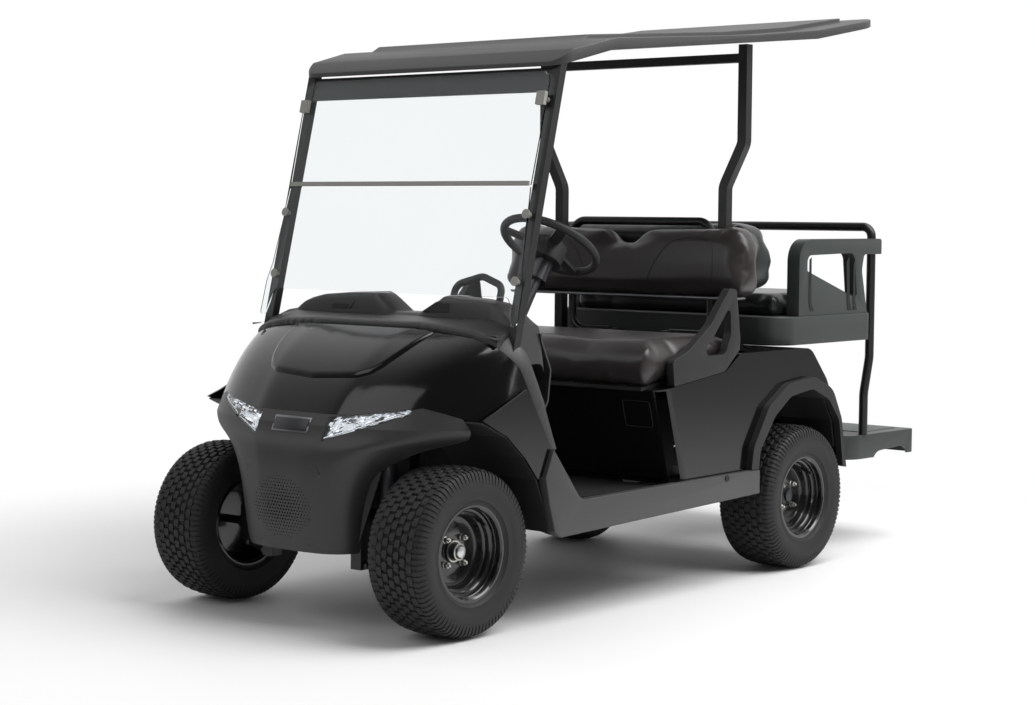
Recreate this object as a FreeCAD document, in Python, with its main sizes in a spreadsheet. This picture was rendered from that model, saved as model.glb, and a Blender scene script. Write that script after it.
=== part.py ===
import FreeCAD, Part

import math
import os

from FreeCAD import Placement, Rotation, Vector

# Four-seat electric golf cart. Millimetres. +X is the cart's left, -Y its front, +Z up,
# and the origin lies on the ground under the middle of the outline.
# Fore-and-aft sizes are measured from the front axle, rearward positive; at() turns one
# into the part's own Y.

doc = FreeCAD.newDocument("GolfCart")
sheet = doc.addObject("Spreadsheet::Sheet", "Sizes")
sheet_rows = []
nodes = []


class Size(float):
    """A number that remembers its formula in the sheet's names."""

    def __new__(cls, value, formula):
        number = float.__new__(cls, value)
        number.formula = formula
        return number

    def __add__(self, other):
        return Size(float(self) + float(other), "(%s + %s)" % (self.formula, formula_of(other)))

    def __radd__(self, other):
        return Size(float(other) + float(self), "(%s + %s)" % (formula_of(other), self.formula))

    def __sub__(self, other):
        return Size(float(self) - float(other), "(%s - %s)" % (self.formula, formula_of(other)))

    def __rsub__(self, other):
        return Size(float(other) - float(self), "(%s - %s)" % (formula_of(other), self.formula))

    def __mul__(self, other):
        return Size(float(self) * float(other), "(%s * %s)" % (self.formula, formula_of(other)))

    def __rmul__(self, other):
        return Size(float(other) * float(self), "(%s * %s)" % (formula_of(other), self.formula))

    def __truediv__(self, other):
        return Size(float(self) / float(other), "(%s / %s)" % (self.formula, formula_of(other)))

    def __neg__(self):
        return Size(-float(self), "(0 - %s)" % self.formula)


def formula_of(number):
    """The formula of a Size, or a plain number as text."""
    return number.formula if isinstance(number, Size) else "%.6f" % number


def bind(thing, prop, number):
    """Sets a property, by its formula where the number comes from the sheet."""
    if isinstance(number, Size):
        thing.setExpression(prop, number.formula)
    elif "." in prop:
        thing.setExpression(prop, "%.6f" % number)
    else:
        setattr(thing, prop, number)


def size(alias, value):
    """Writes one driving size in the sheet and gives it back."""
    sheet_rows.append(alias)
    row = str(len(sheet_rows))
    sheet.set("A" + row, alias)
    sheet.set("B" + row, str(value))
    sheet.setAlias("B" + row, alias)
    return Size(value, "Sizes." + alias)


# Stance
front_axle_y = size("front_axle_y", -1175)
wheelbase = size("wheelbase", 1669)
front_track = size("front_track", 912)
rear_track = size("rear_track", 990)

# Tyres, rims and hubs
tyre_diameter = size("tyre_diameter", 490)
tyre_width = size("tyre_width", 208)
tread_width = size("tread_width", 176)
bead_diameter = size("bead_diameter", 254)
flange_diameter = size("flange_diameter", 284)
rim_width = size("rim_width", 178)
rim_wall = size("rim_wall", 4)
dish_depth = size("dish_depth", 74)
hub_diameter = size("hub_diameter", 92)
hub_length = size("hub_length", 60)
spindle_diameter = size("spindle_diameter", 25)
cap_diameter = size("cap_diameter", 34)
cap_length = size("cap_length", 24)
drum_diameter = size("drum_diameter", 190)
drum_length = size("drum_length", 74)
axle_tube_diameter = size("axle_tube_diameter", 64)
running_gap = size("running_gap", 0.3)
seam = size("seam", 0.4)

# Steering and suspension
kingpin_x = size("kingpin_x", 372)
kingpin_diameter = size("kingpin_diameter", 22)
knuckle_height = size("knuckle_height", 108)
arm_eye_diameter = size("arm_eye_diameter", 44)
arm_thickness = size("arm_thickness", 14)
arm_pivot_x = size("arm_pivot_x", 214)
steer_arm_length = size("steer_arm_length", 85)
steer_arm_x = size("steer_arm_x", 345)
tie_rod_z = size("tie_rod_z", 212)
tie_rod_diameter = size("tie_rod_diameter", 16)
spring_diameter = size("spring_diameter", 62)
spring_foot_x = size("spring_foot_x", 290)
spring_head_x = size("spring_head_x", 236)
spring_head_z = size("spring_head_z", 590)
spring_y = size("spring_y", -42)
rear_spring_x = size("rear_spring_x", 250)
rear_spring_head_z = size("rear_spring_head_z", 560)

# Frame
rail_x = size("rail_x", 185)
rail_width = size("rail_width", 40)
rail_height = size("rail_height", 80)
rail_bottom = size("rail_bottom", 250)
rail_kick = size("rail_kick", 90)
kick_start = size("kick_start", 1330)
kicked_rail_height = size("kicked_rail_height", 60)
rail_front = size("rail_front", -120)
rail_rear = size("rail_rear", 2540)
brace_y = size("brace_y", 150)
brace_z = size("brace_z", 600)
brace_size = size("brace_size", 30)

# Body
skin = size("skin", 5)
body_half_width = size("body_half_width", 590)
pod_half_width = body_half_width - size("pod_inset", 22)
dash_half_width = body_half_width - size("dash_inset", 45)
mat_front = size("mat_front", 400)
mat_thickness = size("mat_thickness", 15)
pod_front_bottom = size("pod_front_bottom", 950)
pod_front_top = size("pod_front_top", 862)
pod_top = size("pod_top", 654)
deck_z = size("deck_z", 752)
floor_z = rail_bottom + rail_height
dash_wall = size("dash_wall", 6)

# Canopy
strut_x = body_half_width - size("strut_inset", 80)
strut_width = size("strut_width", 32)
strut_depth = size("strut_depth", 28)
strut_foot_y = size("strut_foot_y", 166)
strut_head_y = size("strut_head_y", 418)
strut_head_z = size("strut_head_z", 1640)
rear_strut_x = size("rear_strut_x", 355)
rear_strut_head_x = size("rear_strut_head_x", 429)
rear_strut_y = size("rear_strut_y", 1510)
rear_strut_size = size("rear_strut_size", 34)
rear_strut_low_bend = size("rear_strut_low_bend", 1299)
rear_strut_high_bend = size("rear_strut_high_bend", 1444)
roof_half_width = size("roof_half_width", 575)
pane_thickness = size("pane_thickness", 5)
pane_half_width = strut_x + size("pane_overlap", 10)
pane_gap = size("pane_gap", 12)
hinge_rail_z = size("hinge_rail_z", 1283)

# Seats
cushion_half_width = body_half_width - size("cushion_inset", 62)
cushion_front = size("cushion_front", 815)
cushion_rear = size("cushion_rear", 1340)
cushion_top = size("cushion_top", 790)
back_half_width = cushion_half_width - size("back_inset", 8)
back_bottom = size("back_bottom", 925)
back_top = size("back_top", 1172)
back_front = size("back_front", 1372)
loop_x = size("loop_x", 303)
loop_top = size("loop_top", 1195)
loop_bottom = size("loop_bottom", 792)
tube_diameter = size("tube_diameter", 29)

# Rear seat kit
tub_front = size("tub_front", 1620)
tub_rear = size("tub_rear", 2222)
tub_bottom = size("tub_bottom", 758)
tub_top = size("tub_top", 856)
tub_half_width = size("tub_half_width", 512)
rear_cushion_top = size("rear_cushion_top", 926)
rear_cushion_half_width = size("rear_cushion_half_width", 446)
rear_back_half_width = size("rear_back_half_width", 470)
rear_back_bottom = size("rear_back_bottom", 945)
rear_back_top = size("rear_back_top", 1180)
rear_back_rear = size("rear_back_rear", 1672)
armrest_top = size("armrest_top", 1122)
armrest_width = size("armrest_width", 50)
grab_x = size("grab_x", 478)
grab_y = size("grab_y", 2272)
grab_top = size("grab_top", 1180)
plate_front = size("plate_front", 2130)
plate_rear = size("plate_rear", 2575)
plate_half_width = size("plate_half_width", 500)
plate_wall = size("plate_wall", 8)
plate_skirt = size("plate_skirt", 88)

sheet.recompute()
doc.recompute()


def at(y):
    """The part's own Y of a distance from the front axle."""
    return front_axle_y + y


rear_axle = wheelbase
wheel_height = tyre_diameter / 2


def node(thing, name):
    """Names an object of the document as one node of the part."""
    thing.Label = name
    nodes.append(thing)
    return thing


def corner_outline(points):
    """Edges of a closed outline through (u, v, radius) corners, runs joined by tangent arcs."""
    edges = []
    starts = []
    ends = []
    count = len(points)
    for i in range(count):
        here = Vector(points[i][0], points[i][1], 0)
        before = Vector(points[i - 1][0], points[i - 1][1], 0)
        after = Vector(points[(i + 1) % count][0], points[(i + 1) % count][1], 0)
        radius = points[i][2] if len(points[i]) == 3 else 0
        if radius <= 0:
            starts.append(here)
            ends.append((here, None))
            continue
        back = (before - here).normalize()
        ahead = (after - here).normalize()
        half = back.getAngle(ahead) / 2
        run = radius / math.tan(half)
        centre = here + (back + ahead).normalize() * (radius / math.sin(half))
        middle = centre + (here - centre).normalize() * radius
        starts.append(here + back * run)
        ends.append((here + ahead * run, middle))
    for i in range(count):
        leave, middle = ends[i]
        if middle is not None:
            edges.append(Part.Arc(starts[i], middle, leave))
        arrive = starts[(i + 1) % count]
        if (arrive - leave).Length > 1e-6:
            edges.append(Part.LineSegment(leave, arrive))
    return edges


def rectangle(u0, v0, u1, v1, radius=0):
    """Corners of an upright rectangle for corner_outline."""
    return [(u0, v0, radius), (u1, v0, radius), (u1, v1, radius), (u0, v1, radius)]


def inset(points, gap):
    """An outline drawn in by a gap on every side; its corners may carry a radius."""
    flat = [(p[0], p[1], p[2] if len(p) == 3 else 0) for p in points]
    count = len(flat)
    area = sum(flat[i - 1][0] * flat[i][1] - flat[i][0] * flat[i - 1][1] for i in range(count))
    turn = 1 if area > 0 else -1
    lines = []
    for i in range(count):
        a = flat[i]
        b = flat[(i + 1) % count]
        along = Vector(b[0] - a[0], b[1] - a[1], 0).normalize()
        inward = Vector(-along.y * turn, along.x * turn, 0)
        lines.append((Vector(a[0], a[1], 0) + inward * gap, along))
    moved = []
    for i in range(count):
        start, way = lines[i - 1]
        other, cross_way = lines[i]
        gap_line = other - start
        scale = way.x * cross_way.y - way.y * cross_way.x
        run = (gap_line.x * cross_way.y - gap_line.y * cross_way.x) / scale
        spot = start + way * run
        moved.append((spot.x, spot.y, max(flat[i][2] - gap, 0)))
    return moved


def new_body(name):
    """A PartDesign body with the name as its label."""
    body = doc.addObject("PartDesign::Body", name)
    body.Label = name
    return body


def origin_plane(body, role):
    """The body's own origin plane: XY_Plane, XZ_Plane or YZ_Plane."""
    for feature in body.Origin.OriginFeatures:
        if feature.Role == role:
            return feature
    raise ValueError(role)


def draw(body, role, edges, offset=0):
    """A sketch of the edges on an origin plane of the body, moved along its normal."""
    sketch = body.newObject("Sketcher::SketchObject", body.Name + "_sketch")
    sketch.AttachmentSupport = [(origin_plane(body, role), "")]
    sketch.MapMode = "FlatFace"
    bind(sketch, ".AttachmentOffset.Base.z", offset)
    sketch.addGeometry(edges, False)
    return sketch


def pad(body, sketch, length):
    """Pads a sketch along its plane's normal."""
    feature = body.newObject("PartDesign::Pad", body.Name + "_pad")
    feature.Profile = sketch
    bind(feature, "Length", length)
    return feature


def pocket(body, sketch, length):
    """Cuts a sketch out of the body, along its plane's normal."""
    feature = body.newObject("PartDesign::Pocket", body.Name + "_pocket")
    feature.Profile = sketch
    feature.Reversed = True
    bind(feature, "Length", length)
    return feature


def revolve(body, sketch):
    """Turns a sketch about its own horizontal axis."""
    feature = body.newObject("PartDesign::Revolution", body.Name + "_turned")
    feature.Profile = sketch
    feature.ReferenceAxis = (sketch, ["H_Axis"])
    feature.Angle = 360
    return feature


def fillet(body, picks, radius):
    """Rounds the edges of the body's tip that the test picks."""
    doc.recompute()
    tip = body.Tip
    names = ["Edge%d" % (i + 1) for i, edge in enumerate(tip.Shape.Edges) if picks(edge)]
    feature = body.newObject("PartDesign::Fillet", body.Name + "_fillet")
    feature.Base = (tip, names)
    bind(feature, "Radius", radius)
    return feature


def side_sketch(body, points, x_low):
    """A sketch across X of an outline in (distance from the front axle, height)."""
    moved = [(at(p[0]), p[1], p[2] if len(p) == 3 else 0) for p in points]
    return draw(body, "YZ_Plane", corner_outline(moved), x_low)


def side_piece(name, points, x_low, x_high):
    """A body padded along X from an outline in (distance from the front axle, height)."""
    body = new_body(name)
    pad(body, side_sketch(body, points, x_low), x_high - x_low)
    return body


def plan_sketch(body, points, z_low):
    """A level sketch of an outline in (X, distance from the front axle)."""
    moved = [(p[0], at(p[1]), p[2] if len(p) == 3 else 0) for p in points]
    return draw(body, "XY_Plane", corner_outline(moved), z_low)


def plan_piece(name, points, z_low, z_high):
    """A body padded upward from an outline in (X, distance from the front axle)."""
    body = new_body(name)
    pad(body, plan_sketch(body, points, z_low), z_high - z_low)
    return body


def front_piece(name, points, y_front, y_back):
    """A body padded forward from an outline in (X, height)."""
    body = new_body(name)
    sketch = draw(body, "XZ_Plane", corner_outline(points), -at(y_back))
    pad(body, sketch, y_back - y_front)
    return body


def box(name, x0, x1, y0, y1, z0, z1):
    """A Part box between two corners, y measured from the front axle."""
    thing = doc.addObject("Part::Box", name)
    bind(thing, "Length", x1 - x0)
    bind(thing, "Width", y1 - y0)
    bind(thing, "Height", z1 - z0)
    bind(thing, ".Placement.Base.x", x0)
    bind(thing, ".Placement.Base.y", at(y0))
    bind(thing, ".Placement.Base.z", z0)
    return thing


def rod(name, start, end, radius):
    """A Part cylinder between two points, y measured from the front axle."""
    a = Vector(start[0], at(start[1]), start[2])
    b = Vector(end[0], at(end[1]), end[2])
    thing = doc.addObject("Part::Cylinder", name)
    bind(thing, "Radius", radius)
    thing.Height = (b - a).Length
    thing.Placement = Placement(a, Rotation(Vector(0, 0, 1), b - a))
    return thing


def fuse(name, things):
    """A Part fuse of several objects."""
    thing = doc.addObject("Part::MultiFuse", name)
    thing.Shapes = things
    thing.Refine = True
    return thing


def cut(name, base, tool):
    """A Part cut of one object by another."""
    thing = doc.addObject("Part::Cut", name)
    thing.Base = base
    thing.Tool = tool
    thing.Refine = True
    return thing


def common(name, things):
    """The space that several objects share."""
    thing = doc.addObject("Part::MultiCommon", name)
    thing.Shapes = things
    thing.Refine = True
    return thing


def mirrored(name, thing):
    """The same object on the cart's other side."""
    copy = doc.addObject("Part::Mirroring", name)
    copy.Source = thing
    copy.Normal = Vector(1, 0, 0)
    return copy


def group(name, things):
    """A Part compound of solids that don't touch."""
    thing = doc.addObject("Part::Compound", name)
    thing.Links = things
    return thing


def pair(name, thing):
    """One node of an object and its mirror image."""
    return node(group(name + "_pair", [thing, mirrored(name + "_right", thing)]), name)


def both(name, thing):
    """An object fused with its mirror image."""
    return fuse(name, [thing, mirrored(name + "_right", thing)])


def solid(name, shape):
    """A Part feature that holds a shape."""
    thing = doc.addObject("Part::Feature", name)
    thing.Shape = shape
    return thing


def bent_path(points, bend):
    """A wire through points (x, distance from the front axle, z[, radius]), corners rounded."""
    spots = [Vector(p[0], at(p[1]), p[2]) for p in points]
    edges = []
    start = spots[0]
    for i in range(1, len(spots) - 1):
        back = (spots[i - 1] - spots[i]).normalize()
        ahead = (spots[i + 1] - spots[i]).normalize()
        half = back.getAngle(ahead) / 2
        turn = points[i][3] if len(points[i]) == 4 else bend
        run = turn / math.tan(half)
        centre = spots[i] + (back + ahead).normalize() * (turn / math.sin(half))
        middle = centre + (spots[i] - centre).normalize() * turn
        edges.append(Part.LineSegment(start, spots[i] + back * run).toShape())
        edges.append(Part.Arc(spots[i] + back * run, middle, spots[i] + ahead * run).toShape())
        start = spots[i] + ahead * run
    edges.append(Part.LineSegment(start, spots[-1]).toShape())
    return Part.Wire(edges)


def tube(name, points, bend, radius):
    """A round bar that follows a bent path."""
    path = bent_path(points, bend)
    first = path.Edges[0]
    ring = Part.Circle(first.valueAt(first.FirstParameter), first.tangentAt(first.FirstParameter), radius)
    return solid(name, path.makePipeShell([Part.Wire(ring.toShape())], True, False))


def square_bar(name, points, bend, side):
    """A square bar that follows a bent path in a plane across the cart."""
    path = bent_path(points, bend)
    first = path.Edges[0]
    start = first.valueAt(first.FirstParameter)
    along = first.tangentAt(first.FirstParameter)
    lengthwise = Vector(0, 1, 0)
    across = along.cross(lengthwise).normalize()
    half = side / 2
    corners = [start + across * half + lengthwise * half, start - across * half + lengthwise * half,
               start - across * half - lengthwise * half, start + across * half - lengthwise * half]
    profile = Part.makePolygon(corners + corners[:1])
    return solid(name, path.makePipeShell([profile], True, False, 1))


# Wheels


def tyre(name, x, y):
    """A tyre: one turned ring, bead to tread."""
    body = new_body(name)
    half = tyre_width / 2
    bead = bead_diameter / 2 + running_gap
    lip = flange_diameter / 2 + running_gap
    outer = tyre_diameter / 2
    seat = rim_width / 2 - rim_wall - running_gap
    shoulder = tread_width / 2 + 8
    points = [(-seat, bead), (seat, bead), (seat, lip), (half - 8, lip + 4, 12),
              (half, (lip + outer) / 2, 60), (shoulder, outer, 20),
              (-shoulder, outer, 20), (-half, (lip + outer) / 2, 60),
              (-half + 8, lip + 4, 12), (-seat, lip)]
    revolve(body, draw(body, "XZ_Plane", corner_outline(points)))
    body.Placement = Placement(Vector(x, at(y), wheel_height), Rotation())
    return node(body, name)


def rim(name, x, y, side, hub, length):
    """A steel disc wheel with its hub: barrel, two flanges, deep dish and blind spindle bore."""
    body = new_body(name)
    half = rim_width / 2
    flange = flange_diameter / 2
    bead = bead_diameter / 2
    inner = bead - rim_wall
    face = half - dish_depth
    lap = face - rim_wall
    bore = spindle_diameter / 2 + running_gap
    back = lap - length
    cap_end = face + cap_length
    points = [(-half, inner + 8), (-half + rim_wall, inner), (lap, inner), (lap, hub / 2),
              (back, hub / 2), (back, bore), (cap_end - rim_wall, bore), (cap_end - rim_wall, 0),
              (cap_end, 0), (cap_end, cap_diameter / 2, 3), (face, cap_diameter / 2), (face, inner),
              (half - rim_wall, inner), (half, inner + 8), (half, flange), (half - rim_wall, flange),
              (half - rim_wall, bead), (-half + rim_wall, bead), (-half + rim_wall, flange), (-half, flange)]
    outline = [(side * p[0], p[1], p[2] if len(p) == 3 else 0) for p in points]
    revolve(body, draw(body, "XZ_Plane", corner_outline(outline)))
    body.Placement = Placement(Vector(x, at(y), wheel_height), Rotation())
    return node(body, name)


for hand, side in (("left", 1), ("right", -1)):
    tyre("tyre_front_" + hand, side * front_track / 2, 0)
    rim("rim_front_" + hand, side * front_track / 2, 0, side, hub_diameter, hub_length)
    tyre("tyre_rear_" + hand, side * rear_track / 2, rear_axle)
    rim("rim_rear_" + hand, side * rear_track / 2, rear_axle, side, drum_diameter, drum_length)


# Knuckles, arms, springs and steering

front_disc = front_track / 2 + rim_width / 2 - dish_depth - rim_wall
rear_disc = rear_track / 2 + rim_width / 2 - dish_depth - rim_wall
spindle_reach = rim_wall + cap_length - rim_wall - 4
block_low = wheel_height - knuckle_height / 2
block_high = wheel_height + knuckle_height / 2
tie_eye_height = 18
arm_low = tie_rod_z + tie_eye_height / 2 + running_gap


def knuckle(hand, side):
    """Kingpin block, stub axle and steering arm of one front wheel."""
    name = "knuckle_" + hand
    block = box(name + "_block", kingpin_x - 18, kingpin_x + 18, -20, 20, block_low, block_high)
    pin = rod(name + "_pin", (kingpin_x, 0, block_low - arm_thickness),
              (kingpin_x, 0, block_high + arm_thickness), kingpin_diameter / 2)
    stub = rod(name + "_stub", (kingpin_x, 0, wheel_height),
               (front_disc + spindle_reach, 0, wheel_height), spindle_diameter / 2)
    collar = rod(name + "_collar", (kingpin_x, 0, wheel_height),
                 (front_disc - hub_length - 2, 0, wheel_height), 20)
    arm = plan_piece(name + "_arm", [(kingpin_x - 16, 10), (kingpin_x + 8, 10),
                                     (steer_arm_x + 12, steer_arm_length + 12, 10),
                                     (steer_arm_x - 12, steer_arm_length + 12, 10)], arm_low, arm_low + 12)
    whole = fuse(name + "_whole", [block, pin, stub, collar, arm])
    if side > 0:
        return node(whole, name)
    return node(mirrored(name + "_mirrored", whole), name)


for hand, side in (("left", 1), ("right", -1)):
    knuckle(hand, side)


def wishbone(name, z_low, pivots):
    """One A-arm: two legs from an eye round the kingpin to sleeves at the frame."""
    z_high = z_low + arm_thickness
    middle = z_low + arm_thickness / 2
    parts = [rod(name + "_eye", (kingpin_x, 0, z_low), (kingpin_x, 0, z_high), arm_eye_diameter / 2)]
    for i, pivot in enumerate(pivots):
        outline = [(arm_pivot_x, pivot - 9), (kingpin_x, -8), (kingpin_x, 8), (arm_pivot_x, pivot + 9)]
        parts.append(plan_piece(name + "_leg%d" % i, outline, z_low, z_high))
        parts.append(rod(name + "_sleeve%d" % i, (arm_pivot_x, pivot - 12, middle),
                         (arm_pivot_x, pivot + 12, middle), rail_width * 0.2))
    hole = rod(name + "_hole", (kingpin_x, 0, z_low - 5), (kingpin_x, 0, z_high + 5),
               kingpin_diameter / 2 + running_gap)
    return cut(name, fuse(name + "_solid", parts), hole)


low_arm_z = block_low - arm_thickness - seam
high_arm_z = block_high + seam
pair("front_suspension_arms", group("arms", [wishbone("low_arm", low_arm_z, (-80, 40)),
                                             wishbone("high_arm", high_arm_z, (14, 84))]))


def coil_over(name, foot, head):
    """Damper with its coil spring between a lower eye and an upper eye."""
    low = [foot[i] + (head[i] - foot[i]) * 0.14 for i in range(3)]
    high = [foot[i] + (head[i] - foot[i]) * 0.88 for i in range(3)]
    return fuse(name, [rod(name + "_shaft", foot, head, 10), rod(name + "_coil", low, high, spring_diameter / 2)])


spring_foot_z = low_arm_z + arm_thickness + 5
rear_spring_foot_z = wheel_height + axle_tube_diameter / 2 + running_gap
pair("suspension_springs", group("coils", [
    coil_over("front_coil", (spring_foot_x, spring_y, spring_foot_z), (spring_head_x, spring_y, spring_head_z - 1.4)),
    coil_over("rear_coil", (rear_spring_x, rear_axle, rear_spring_foot_z),
              (rear_spring_x, rear_axle, rear_spring_head_z))]))

tie_parts = [rod("tie_bar", (-steer_arm_x, steer_arm_length, tie_rod_z),
                 (steer_arm_x, steer_arm_length, tie_rod_z), tie_rod_diameter / 2)]
for i, x in enumerate((-steer_arm_x, steer_arm_x)):
    tie_parts.append(rod("tie_eye%d" % i, (x, steer_arm_length, tie_rod_z - tie_eye_height / 2),
                         (x, steer_arm_length, tie_rod_z + tie_eye_height / 2), 12))
node(fuse("tie_rods_whole", tie_parts), "tie_rods")


# Frame

inside = rail_x - rail_width / 2
outside = rail_x + rail_width / 2
kick_low = rail_bottom + rail_kick
kick_high = kick_low + kicked_rail_height
rocker_inner = body_half_width - 30

frame_parts = []


def on_both_sides(thing):
    """Adds a frame piece and its mirror image."""
    frame_parts.extend([thing, mirrored(thing.Name + "_right", thing)])


# Each tube and bracket is a solid of its own, a hairline weld seam from the next
on_both_sides(side_piece("rail", [(rail_front, rail_bottom), (kick_start, rail_bottom), (kick_start + 90, kick_low),
                                  (rail_rear, kick_low), (rail_rear, kick_high), (kick_start + 40, kick_high),
                                  (kick_start - 40, floor_z), (rail_front, floor_z)], inside, outside))
cross_half = inside - seam
for i, y in enumerate((-110, 330, 940, 1270)):
    frame_parts.append(box("cross%d" % i, -cross_half, cross_half, y, y + 40, rail_bottom + 12, floor_z - 12))
for i, y in enumerate((1480, 1960, 2120, 2500)):
    frame_parts.append(box("rear_cross%d" % i, -cross_half, cross_half, y, y + 40, kick_low, kick_low + 46))
for i, y in enumerate((480, 900, 1240)):
    on_both_sides(box("outrigger%d" % i, outside + seam, rocker_inner - seam, y, y + 34, rail_bottom + 30,
                      floor_z))
on_both_sides(box("cowl_post", inside, outside, brace_y, brace_y + brace_size, floor_z + seam, brace_z - seam))
brace_half = strut_x + strut_width / 2
frame_parts.append(box("cowl_brace", -brace_half, brace_half, brace_y, brace_y + brace_size, brace_z,
                       brace_z + brace_size))
tower_front = spring_y - 52
tower_rear = spring_y + 30
tower_foot = floor_z + seam
tower_top = spring_head_z + 14
on_both_sides(fuse("spring_tower", [
    box("tower_foot", inside, outside, tower_front, tower_rear, tower_foot, tower_foot + 8),
    box("tower_back", inside, inside + 26, tower_front, tower_rear, tower_foot, tower_top),
    box("tower_web", inside + 20, spring_head_x + 24, tower_front, tower_front + 8, tower_foot + 60, tower_top),
    box("tower_cap", inside + 20, spring_head_x + 24, tower_front, tower_rear, spring_head_z + seam, tower_top)]))
rear_tower_top = rear_spring_head_z + 10
on_both_sides(fuse("rear_tower", [
    box("rear_tower_leg", inside, outside, rear_axle - 36, rear_axle + 36, kick_high + seam, rear_tower_top),
    box("rear_tower_cap", inside, rear_spring_x + 34, rear_axle - 36, rear_axle + 36,
        rear_spring_head_z + seam, rear_tower_top)]))
for i, pivot in enumerate((-80, 40)):
    on_both_sides(box("arm_ear%d" % i, inside, arm_pivot_x - rail_width * 0.2 - seam, pivot - 20, pivot + 20,
                      low_arm_z - 6, rail_bottom - seam))
node(group("chassis_frame_whole", frame_parts), "chassis_frame")


# Rear axle, motor and batteries

axle = rod("axle_tube", (-(rear_disc - drum_length - 4), rear_axle, wheel_height),
           (rear_disc - drum_length - 4, rear_axle, wheel_height), axle_tube_diameter / 2)
shaft = rod("axle_shaft", (-(rear_disc + spindle_reach), rear_axle, wheel_height),
            (rear_disc + spindle_reach, rear_axle, wheel_height), spindle_diameter / 2)
case = rod("gear_case", (-70, rear_axle, wheel_height), (70, rear_axle, wheel_height), 82)
link = side_piece("swing_arm", [(1310 + seam, 268), (1310 + seam, 308), (rear_axle, wheel_height + 20),
                                (rear_axle, wheel_height - 20)], 100, 130)
motor = rod("motor_can", (78, rear_axle + 172, 262), (-150, rear_axle + 172, 262), 88)
bridge = box("motor_bridge", -60, 60, rear_axle + 76, rear_axle + 110, 200, 290)
node(fuse("rear_axle_whole", [axle, shaft, case, link, mirrored("swing_arm_right", link), motor, bridge]),
     "rear_axle")
node(box("battery_pack", -330, 330, 985, 1265, floor_z, floor_z + 268), "battery_pack")


# Nose: cowl, fascia, lamps and grille share one skin


# Height, front, half width, where the curve starts and how full it is, from the bottom up
low_nose = [
    (223, -206, 214, -60, 3.2),
    (350, -222, 236, -50, 3.2),
    (480, -225, 300, -10, 2.9),
    (548, -200, body_half_width - 110, 150, 2.6)]
high_nose = [
    (590, -180, body_half_width - 18, 250, 2.5),
    (645, -145, body_half_width - 16, 270, 2.5),
    (701, -105, body_half_width - 25, 290, 2.6),
    (779, -25, body_half_width - 35, 330, 2.8),
    (862, 120, body_half_width - 45, 400, 3.0)]
low_nose.append(high_nose[0])
nose_back = 470


def nose_section(station, inset):
    """A level outline of the nose's left half: a full curve round the front, then straight."""
    z, front, width, start, fullness = station
    width = width - inset
    depth = start - front - inset
    spots = []
    turns = 6
    for i in range(turns + 1):
        angle = math.pi / 2 * i / turns
        x = width * math.cos(angle) ** (2 / fullness)
        y = start - depth * math.sin(angle) ** (2 / fullness)
        spots.append(Vector(x if i < turns else 0, at(y), z))
    curve = Part.BSplineCurve()
    curve.interpolate(Points=spots, InitialTangent=Vector(0, -1, 0), FinalTangent=Vector(-1, 0, 0))
    middle = Vector(0, at(nose_back), z)
    corner = Vector(width, at(nose_back), z)
    return Part.Wire([curve.toShape(), Part.makeLine(spots[-1], middle), Part.makeLine(middle, corner),
                      Part.makeLine(corner, spots[0])])


def nose_half(name, inset, stations):
    """The nose's left half through its stations, drawn in by an inset."""
    return solid(name, Part.makeLoft([nose_section(station, inset) for station in stations], True, False))


def nose_skin(name, thickness, stations):
    """A layer of the nose's left half, measured inward from its outside."""
    return cut(name, nose_half(name + "_outer", 0, stations), nose_half(name + "_inner", thickness, stations))


low_skin = nose_skin("low_skin", skin, low_nose)
high_skin = nose_skin("high_skin", skin, high_nose)

wide = body_half_width + 60
arch_edge = [(7, 622), (115, 569), (193, 503), (252, 436)]
lamp_edge = [(-260, 612), (-120, 628), (-60, 652)]
side_seam = [(307, 520), (270, 590), (236, 645), (200, 756), (150, 822), (120, 864)]
cowl_zone = side_piece("cowl_zone", lamp_edge + [(7, 622), (100, 590)] + side_seam[1:] + [(-260, 864)],
                       -1, wide)
leg = side_piece("cowl_leg", [(60, 640), (7, 622)] + arch_edge[1:] + [(271, 441), (307, 520), (270, 590),
                                                                  (236, 645), (200, 700)],
                 body_half_width - 21, body_half_width - 14)
lamp_window = [(138, 548), (376, 628, 10), (400, 650, 8), (136, 616)]
lamp_hole = front_piece("lamp_hole", lamp_window, -300, 60)
cowl_half = cut("cowl_half", fuse("cowl_joined", [common("cowl_shell", [high_skin, cowl_zone]), leg]), lamp_hole)
node(both("front_cowl_whole", cowl_half), "front_cowl")

lamp_front = front_piece("lamp_front", lamp_window, -300, 20)
lamp_depth = plan_piece("lamp_depth", [(120, -280), (420, -280), (420, -50), (120, -140)], 500, 700)
lamp_low = common("lamp_low", [nose_half("lamp_low_body", 0, low_nose), lamp_front, lamp_depth])
lamp_high = common("lamp_high", [nose_half("lamp_high_body", 0, high_nose), lamp_front, lamp_depth])
pair("headlights", fuse("lamp", [lamp_low, lamp_high]))

fascia_zone = side_piece("fascia_zone", [(-260, 223), (-260, 611.5), (-120, 627.5), (-60, 651.5), (6, 621.5),
                                         (30, 560), (-20, 520), (-80, 475), (-112, 440),
                                         (-112, 223)], -1, wide)
grille_outline = [(-152, 478, 30), (152, 478, 30), (158, 380), (118, 242, 30), (-118, 242, 30), (-158, 380)]
grille_hole = front_piece("grille_hole", grille_outline, -300, -100)
fascia_half = cut("fascia_half", fuse("fascia_joined", [common("fascia_low", [low_skin, fascia_zone]),
                                                        common("fascia_high", [high_skin, fascia_zone])]),
                  fuse("fascia_holes", [front_piece("lamp_hole_2", lamp_window, -300, 60), grille_hole]))
node(both("front_fascia_whole", fascia_half), "front_fascia")
grille_zone = front_piece("grille_zone", grille_outline, -300, -100)
node(both("grille_whole", common("grille_half", [nose_skin("grille_skin", 8, low_nose), grille_zone])),
     "grille_panel")


# Dashboard and floor


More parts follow.
